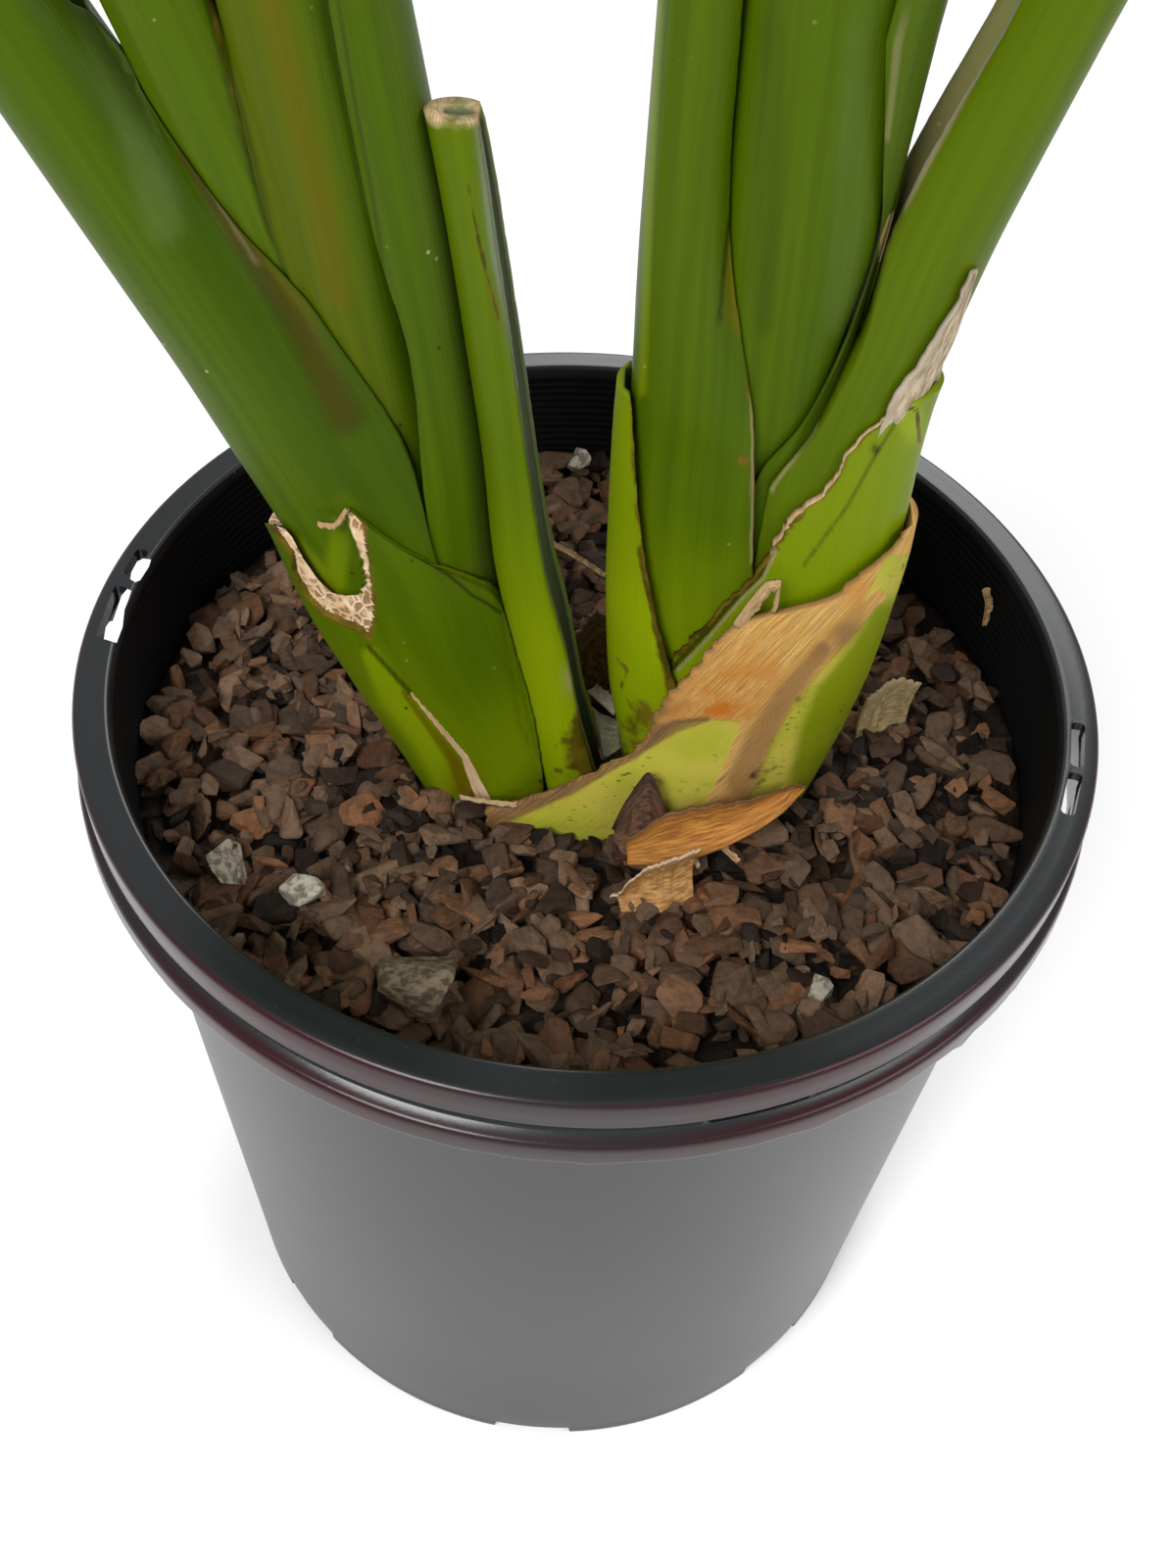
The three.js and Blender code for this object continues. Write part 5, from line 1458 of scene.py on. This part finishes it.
def pot_profile():
    outside_wall = [(body_radius(z), z) for z in np.linspace(3, COLLAR_Z - 1, 46)]
    ribs_z = np.arange(POT_HEIGHT - 4, SOIL_Z - 6, -0.55)
    ribs = [
        (lerp(BODY_TOP_R - WALL, RIM_INNER_R - 0.4, (z - COLLAR_Z) / 20) + 0.16 * math.cos(z * 2.6), z)
        for z in ribs_z
    ]
    return [
        (0, 5), (97, 5), (98.6, 4.4), (99.2, 0.5), (99.8, 0), (108.4, 0), (109.3, 0.5), (109.7, 1.5),
        *outside_wall,
        (BODY_TOP_R + 0.2, 232), (BODY_TOP_R + 1.2, 249.2), (127.2, 249.4), (127.6, 236), (128.6, 230),
        *arc(131.0, 231.2, 1.9, 235, 360, 8), (132.7, 233.4),
        *arc(130.9, 235.0, 1.9, 5, 80, 6),
        (129.7, 237.9), (129.3, 239.6), (129.5, 241.2),
        *arc(130.0, 243.2, 1.3, 280, 370, 6),
        (131.35, 246), *arc(129.6, 250.2, 1.8, 5, 88, 7),
        (127.5, 252), (124.6, 251.9),
        *arc(123.6, 250.7, 1.3, 95, 178, 6),
        *ribs,
        (BODY_TOP_R - WALL - 0.6, SOIL_Z - 8), (106.5, 10), (104, 8), (0, 8),
    ]


def notch_depth(azimuth):
    """Share of the foot that a notch takes away at an azimuth in degrees."""
    nearest = (azimuth - NOTCH_AZIMUTH + NOTCH_STEP / 2) % NOTCH_STEP - NOTCH_STEP / 2
    return smoothstep(NOTCH_DEG / 2 + 0.12, NOTCH_DEG / 2 - 0.12, abs(nearest))


# Rim slots and slots in the collar's groove: azimuth, width, length and height, radius and z, in mm
POT_SLOTS = [
    (170.5, 10.5, 3.4, 6, 125.8, 250), (179.2, 19, 3.4, 6, 125.8, 250),
    (-10, 15, 3.4, 6, 125.8, 250), (-17.6, 14, 3.4, 6, 125.8, 250),
    (165, 12, 6, 3.4, 129, 240), (174, 20, 6, 3.4, 129, 240),
    (-70.5, 24, 6, 3.4, 129, 240), (-18, 14, 6, 3.4, 129, 240),
]


# The left slots open right through the rim, seen by the photograph's camera; corners in pixels
LEFT_OPENINGS = [
    [(146, 570), (154, 571), (152, 578), (143, 592), (138, 594), (133, 591), (134, 584), (140, 573)],
    [
        (130, 601), (134, 603), (131, 612), (127, 622), (125, 640), (119, 656), (106, 652),
        (108, 640), (112, 634), (115, 634), (120, 620), (124, 608),
    ],
]
OPENING_TOP_Z, OPENING_LOW_Z = 256.0, 222.0


def prism(name, near, far, material_index=0):
    """A solid between two like outlines."""
    n = len(near)
    sides = [[i, (i + 1) % n, n + (i + 1) % n, n + i] for i in range(n)]
    ends = [list(range(n)), list(range(n, 2 * n))]
    return solid_object(name, np.concatenate([near, far]), sides + ends, material_index)


def pot_azimuths():
    regular = np.arange(0, 360, 1.5)
    edges = [
        NOTCH_AZIMUTH + NOTCH_STEP * i + side * (NOTCH_DEG / 2 + off)
        for i in range(NOTCHES) for side in (-1, 1) for off in (-0.13, 0.13)
    ]
    return np.unique(np.round(np.concatenate([regular, np.array(edges) % 360]), 3))


INNER_START = 60  # the profile is past the collar here


def make_pot(material):
    profile = pot_profile()
    azimuths = pot_azimuths()
    points = [(0, 0, 5)]
    body, inside, bead_reflection = [0.0], [1.0], [0.0]
    for k, (r, z) in enumerate(profile[1:-1]):
        inner = k > INNER_START and r < RIM_INNER_R + 0.4 and z < POT_HEIGHT - 2.5
        for azimuth in azimuths:
            a = math.radians(azimuth)
            height, radius = z, r
            if z < NOTCH_HEIGHT and r > 98.9:
                height = z + (NOTCH_HEIGHT - z) * float(notch_depth(azimuth))
            if 128.0 < r and z < 231.5:
                flash = max(0.0, noise.noise(Vector((azimuth * 0.35, 3.1, 0))) + 0.12) * 1.6
                fine = max(0.0, noise.noise(Vector((azimuth * 1.9, 8.2, 0)))) * 1.5
                signed = (azimuth + 180) % 360 - 180
                here = smoothstep(-115, -20, signed) * smoothstep(10, -20, signed)
                height -= (0.35 + 1.5 * float(here)) * (flash + fine)
            points.append((radius * math.cos(a), radius * math.sin(a), height))
            on_wall = r > body_radius(min(z, COLLAR_Z)) - 1
            on_body = float(smoothstep(COLLAR_Z + 1, COLLAR_Z - 2, z) * on_wall)
            body.append(on_body * (0.62 + 0.38 * float(smoothstep(0, 90, z))))
            inside.append(float(inner))
            # Mask of the beads, where a reddish reflection is painted into the colour
            bead_reflection.append(float(r > 130.4) * (0.7 + 0.3 * math.sin(azimuth * 0.11)))
    points.append((0, 0, 8))
    body.append(0.0)
    inside.append(1.0)
    bead_reflection.append(0.0)
    columns, rows = len(azimuths), len(profile) - 2
    faces = grid_faces(rows, columns, first=1).tolist()
    last = 1 + (rows - 1) * columns
    faces += [[0, 1 + (i + 1) % columns, 1 + i] for i in range(columns)]
    faces += [[len(points) - 1, last + i, last + (i + 1) % columns] for i in range(columns)]
    masks = {"body": body, "inside": inside, "bead_reflection": bead_reflection}
    pot = make_object("pot_look", points, faces, [material], ["pot"], attributes=masks, split=40)
    cutters = []
    for azimuth, width, length, height, radius, z in POT_SLOTS:
        cutter = bmesh.new()
        bmesh.ops.create_cube(cutter, size=1.0)
        bmesh.ops.scale(cutter, vec=Vector((length, width, height)) * MM, verts=cutter.verts)
        axis = 0 if height < 5 else 2
        upright = [e for e in cutter.edges if abs((e.verts[0].co - e.verts[1].co).normalized()[axis]) > 0.9]
        bmesh.ops.bevel(cutter, geom=upright, offset=1.1 * MM, segments=3, affect="EDGES", profile=0.5)
        move = Matrix.Translation(Vector((radius, 0, z)) * MM)
        turn = Matrix.Rotation(math.radians(azimuth), 4, "Z") @ move
        bmesh.ops.transform(cutter, matrix=turn, verts=cutter.verts)
        mesh = bpy.data.meshes.new("slot_cutter")
        cutter.to_mesh(mesh)
        cutter.free()
        thing = bpy.data.objects.new("slot_cutter", mesh)
        bpy.context.scene.collection.objects.link(thing)
        cutters.append(thing)
    for corners in LEFT_OPENINGS:
        cutters.append(prism("opening", at_height(corners, OPENING_TOP_Z), at_height(corners, OPENING_LOW_Z)))
    cut_away(pot, cutters)


# Mulch

FOOTPRINT_Z = 224.0


def footprint(x, y, grow):
    """True where a stalk or sheath stands in the mulch."""
    inside = np.zeros(np.shape(x), bool)
    for name in STALKS:
        row = row_at(name, FOOTPRINT_Z)
        side = STALKS[name]["side"]
        profile = outside(name, FOOTPRINT_Z, False)
        q = side * (x - row[0])
        reach = side * (row[3] - row[0])
        depth = np.interp(x, GRID, profile)
        inside |= (q > -grow) & (q < reach + grow) & (np.abs(y - STALKS[name]["y"]) < depth + grow)
    return inside


def mulch_height(x, y):
    spots = zip(np.ravel(x), np.ravel(y))
    low = np.array([noise.noise(Vector((a * 0.021, b * 0.021, 4.2))) for a, b in spots])
    return SOIL_Z - 1.5 + 3.2 * low.reshape(np.shape(x))


def chip_templates(random, count, points, shape, worn=True):
    """Angular chips as hulls of random points, each about 1 long."""
    made = []
    for _ in range(count):
        clean = bmesh.new()
        spread = random.normal(size=(points, 3))
        spread /= np.linalg.norm(spread, axis=1, keepdims=True)
        spread = np.sign(spread) * np.abs(spread) ** 0.7
        spread *= np.array(shape) * random.uniform(0.8, 1.2, 3)
        extent = np.abs(spread).max(axis=0)
        for p in spread:
            clean.verts.new(p)
        bmesh.ops.convex_hull(clean, input=clean.verts)
        loose = [v for v in clean.verts if not v.link_faces]
        bmesh.ops.delete(clean, geom=loose, context="VERTS")
        if worn:
            bmesh.ops.bevel(
                clean, geom=clean.edges[:], offset=0.03, segments=1, affect="EDGES", profile=0.5,
                clamp_overlap=True,
            )
        bmesh.ops.triangulate(clean, faces=clean.faces)
        clean.verts.index_update()
        verts = np.clip(np.array([v.co for v in clean.verts]), -extent, extent)
        faces = np.array([[v.index for v in f.verts] for f in clean.faces])
        clean.free()
        made.append((verts, faces))
    return made


NEAR_TURN = 6.28


def rotation(random, tilt):
    yaw = Matrix.Rotation(random.uniform(0, 2 * math.pi), 3, "Z")
    angle = math.radians(random.normal(0, tilt))
    axis = Vector((math.cos(random.uniform(0, NEAR_TURN)), math.sin(random.uniform(0, NEAR_TURN)), 0))
    return np.array(Matrix.Rotation(angle, 3, axis) @ yaw)


def scatter(random, templates, spots, sizes, tilt, tone, red):
    verts, faces, tones, reds = [], [], [], []
    total = 0
    for spot, size in zip(spots, sizes):
        v, f = templates[random.integers(len(templates))]
        placed = (v * size) @ rotation(random, tilt).T + spot
        verts.append(placed)
        faces.append(f + total)
        total += len(v)
        tones.append(np.full(len(v), float(np.clip(random.normal(*tone), 0, 1))))
        reds.append(np.full(len(v), float(random.random() < red) * random.uniform(0.4, 1)))
    return np.concatenate(verts), np.concatenate(faces), np.concatenate(tones), np.concatenate(reds)


def mulch_spots(random, count, reach, lift):
    spots = []
    while len(spots) < count:
        r = reach * np.sqrt(random.random(count))
        a = random.random(count) * 2 * math.pi
        x, y = r * np.cos(a), r * np.sin(a)
        free = ~footprint(x, y, 1.5)
        z = mulch_height(x, y) + random.uniform(*lift, count)
        spots += [s for s, ok in zip(np.stack([x, y, z], -1), free) if ok]
    return np.array(spots[:count])


# Stones among the chips: place and size in mm, and how pale
STONES = [
    (-67, -63, 223.5, 12, 0.8), (-87, -56, 223, 14, 0.45), (-35, -87, 225, 22, 0.08),
    (-8, 112, 223, 9, 0.8), (60, -80, 222.5, 8, 0.5),
]


# Layers of chips: templates, count, length, lift above the mulch, tilt in degrees, tone and its spread,
# share of red ones, and reach from the middle
MULCH_LAYERS = {
    # The lower layer's dark tone is painted shade in the gaps between the chips above
    "mulch_lower": ("plain", 1000, (10, 16), (-7, -4), 22, (0.08, 0.08), 0.3, 116),
    "mulch_upper": ("worn", 1040, (11, 18), (-4.2, -0.3), 30, (0.5, 0.27), 0.35, 114),
    "mulch_small": ("plain", 620, (5.0, 9.0), (-3, 1.2), 34, (0.46, 0.26), 0.35, 116),
    "mulch_slivers": ("slivers", 60, (8, 15), (-1.5, 1.8), 16, (0.6, 0.2), 0.5, 108),
}
GROUND_R, GROUND_FOOT_R, GROUND_FOOT_Z = 119.6, 108.0, 12
CHIP_SHAPE, SLIVER_SHAPE, STONE_SHAPE = (0.5, 0.28, 0.18), (0.5, 0.14, 0.1), (0.5, 0.42, 0.34)


def make_mulch(material, dust, stone):
    random = rng(11)
    rings, columns = 46, 96
    turns = [2 * math.pi * j / columns for j in range(columns)]
    points, faces = [(0.0, 0.0, float(mulch_height(0.0, 0.0)) - 6)], []
    for i in range(1, rings + 1):
        r = GROUND_R * i / rings
        for a in turns:
            x, y = r * math.cos(a), r * math.sin(a)
            points.append((x, y, float(mulch_height(x, y)) - 5))
    faces += [[0, 1 + j, 1 + (j + 1) % columns] for j in range(columns)]
    faces += grid_faces(rings, columns, first=1).tolist()
    low = len(points)
    edge = 1 + (rings - 1) * columns
    points += [(GROUND_FOOT_R * math.cos(a), GROUND_FOOT_R * math.sin(a), GROUND_FOOT_Z) for a in turns]
    faces += [[edge + j, edge + (j + 1) % columns, low + (j + 1) % columns, low + j] for j in range(columns)]
    faces.append(list(range(low, low + columns)))
    make_object(
        "mulch_ground", points, faces, [dust], ["potting_mix"],
        attributes={"tone": np.full(len(points), 0.02), "red": np.zeros(len(points))},
    )
    templates = {
        "worn": chip_templates(random, 26, 13, CHIP_SHAPE),
        "plain": chip_templates(random, 16, 13, CHIP_SHAPE, worn=False),
        "slivers": chip_templates(random, 10, 12, SLIVER_SHAPE),
    }
    for name, (kind, count, sizes, lift, tilt, tone, red, reach) in MULCH_LAYERS.items():
        spots = mulch_spots(random, count, reach, lift)
        scale = random.uniform(*sizes, count)
        v, f, tones, reds = scatter(random, templates[kind], spots, scale, tilt, tone, red)
        make_object(name, v, f, [material], smooth=False, attributes={"tone": tones, "red": reds})
    shapes = chip_templates(random, 6, 16, STONE_SHAPE)
    for i, (x, y, z, size, pale) in enumerate(STONES):
        v, f, tones, reds = scatter(random, shapes, [(x, y, z)], [size], 10, (pale, 0.02), 0.0)
        masks = {"tone": tones, "red": reds}
        make_object(f"stone_{i}", v, f, [stone], smooth=False, attributes=masks)


# Camera, light and floor

def make_camera():
    data = bpy.data.cameras.new("camera")
    data.sensor_width = SENSOR
    data.lens = FOCAL_PX / IMAGE_H * SENSOR
    data.shift_x = (IMAGE_W / 2 - CENTRE_PX[0]) / IMAGE_H
    data.shift_y = (CENTRE_PX[1] - IMAGE_H / 2) / IMAGE_H
    data.clip_start = 0.02
    camera = bpy.data.objects.new("camera", data)
    matrix = Matrix((RIGHT, UP, -FORWARD)).transposed().to_4x4()
    matrix.translation = EYE * MM
    camera.matrix_world = matrix
    bpy.context.scene.collection.objects.link(camera)
    bpy.context.scene.camera = camera


def area_light(name, place, target, size, power):
    data = bpy.data.lights.new(name, "AREA")
    data.shape = "DISK"
    data.size = size
    data.energy = power
    light = bpy.data.objects.new(name, data)
    place = Vector(place)
    light.location = place
    light.rotation_euler = (Vector(target) - place).to_track_quat("-Z", "Y").to_euler()
    bpy.context.scene.collection.objects.link(light)


# Place and target in metres, size, and power
LIGHTS = {
    "key": ((-0.9, -1.5, 1.9), (0, 0, 0.3), 1.1, 50),
    "fill": ((1.5, -0.9, 1.2), (0, 0, 0.3), 1.2, 15),
    "back": ((0.3, 1.7, 1.5), (0, 0, 0.4), 1.2, 14),
}


def make_studio():
    scene = bpy.context.scene
    scene.view_settings.view_transform = "Standard"
    world = bpy.data.worlds.new("studio")
    world.use_nodes = True
    world.node_tree.nodes["Background"].inputs["Color"].default_value = (1, 1, 1, 1)
    world.node_tree.nodes["Background"].inputs["Strength"].default_value = 0.58
    scene.world = world
    for name, settings in LIGHTS.items():
        area_light(name, *settings)
    bpy.ops.mesh.primitive_plane_add(size=14)
    floor = bpy.context.object
    floor.name = "floor"
    material, n = new_material("floor")
    n.surface((0.95, 0.95, 0.95), 0.7)
    floor.data.materials.append(material)


make_camera()
make_studio()
LEAF = leaf_material()
STRAW = straw_material()
FLESH = flesh_material()
BARK = bark_material("bark")
DUST = bark_material("bark_dust")
STONE = bark_material("stone", stone=True)
SCRAP_TONES = {
    "bud_scale": ((0.16, 0.08, 0.045), (0.05, 0.026, 0.016), (0.015, 0.01, 0.008)),
    "dried_curl_large": ((0.46, 0.2, 0.035), (0.2, 0.07, 0.012), (0.07, 0.04, 0.025)),
    "dried_curl_small": ((0.44, 0.24, 0.08), (0.2, 0.09, 0.025), (0.5, 0.38, 0.26)),
    "tan_scrap": ((0.36, 0.27, 0.13), (0.2, 0.14, 0.065), (0.3, 0.22, 0.11)),
    "dead_sheath": ((0.2, 0.1, 0.05), (0.05, 0.025, 0.015), (0.09, 0.05, 0.03)),
}
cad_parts["rhizome"].data.materials[0] = root_material()
make_pot(pot_material())
for stalk_name in STALKS:
    if stalk_name == "old_sheath_right":
        make_stalk(stalk_name, [STRAW])
    else:
        made_stalk = make_stalk(stalk_name, [LEAF, FLESH])
        if stalk_name == "old_sheath_left":
            cut_left_sheath(made_stalk)
for scrap_name, scrap_shape in SCRAPS.items():
    dry = plain_material(scrap_name + "_dry", *SCRAP_TONES[scrap_name])
    make_strip(scrap_name, scrap_shape, dry, [scrap_name])
TONES = {
    "tan": plain_material("dry_tan", (0.5, 0.34, 0.16), (0.22, 0.13, 0.05)),
    "pale": plain_material("dry_pale", (0.55, 0.47, 0.36), (0.3, 0.22, 0.14)),
    "brown": plain_material("dry_brown", (0.2, 0.12, 0.06), (0.06, 0.035, 0.02)),
    "sage": plain_material("dry_sage", (0.22, 0.22, 0.13), (0.12, 0.12, 0.07)),
}
make_torn_bits(TONES)
make_spear(plain_material("dry_spear", (0.5, 0.41, 0.28), (0.2, 0.14, 0.08)))
make_mulch(BARK, DUST, STONE)
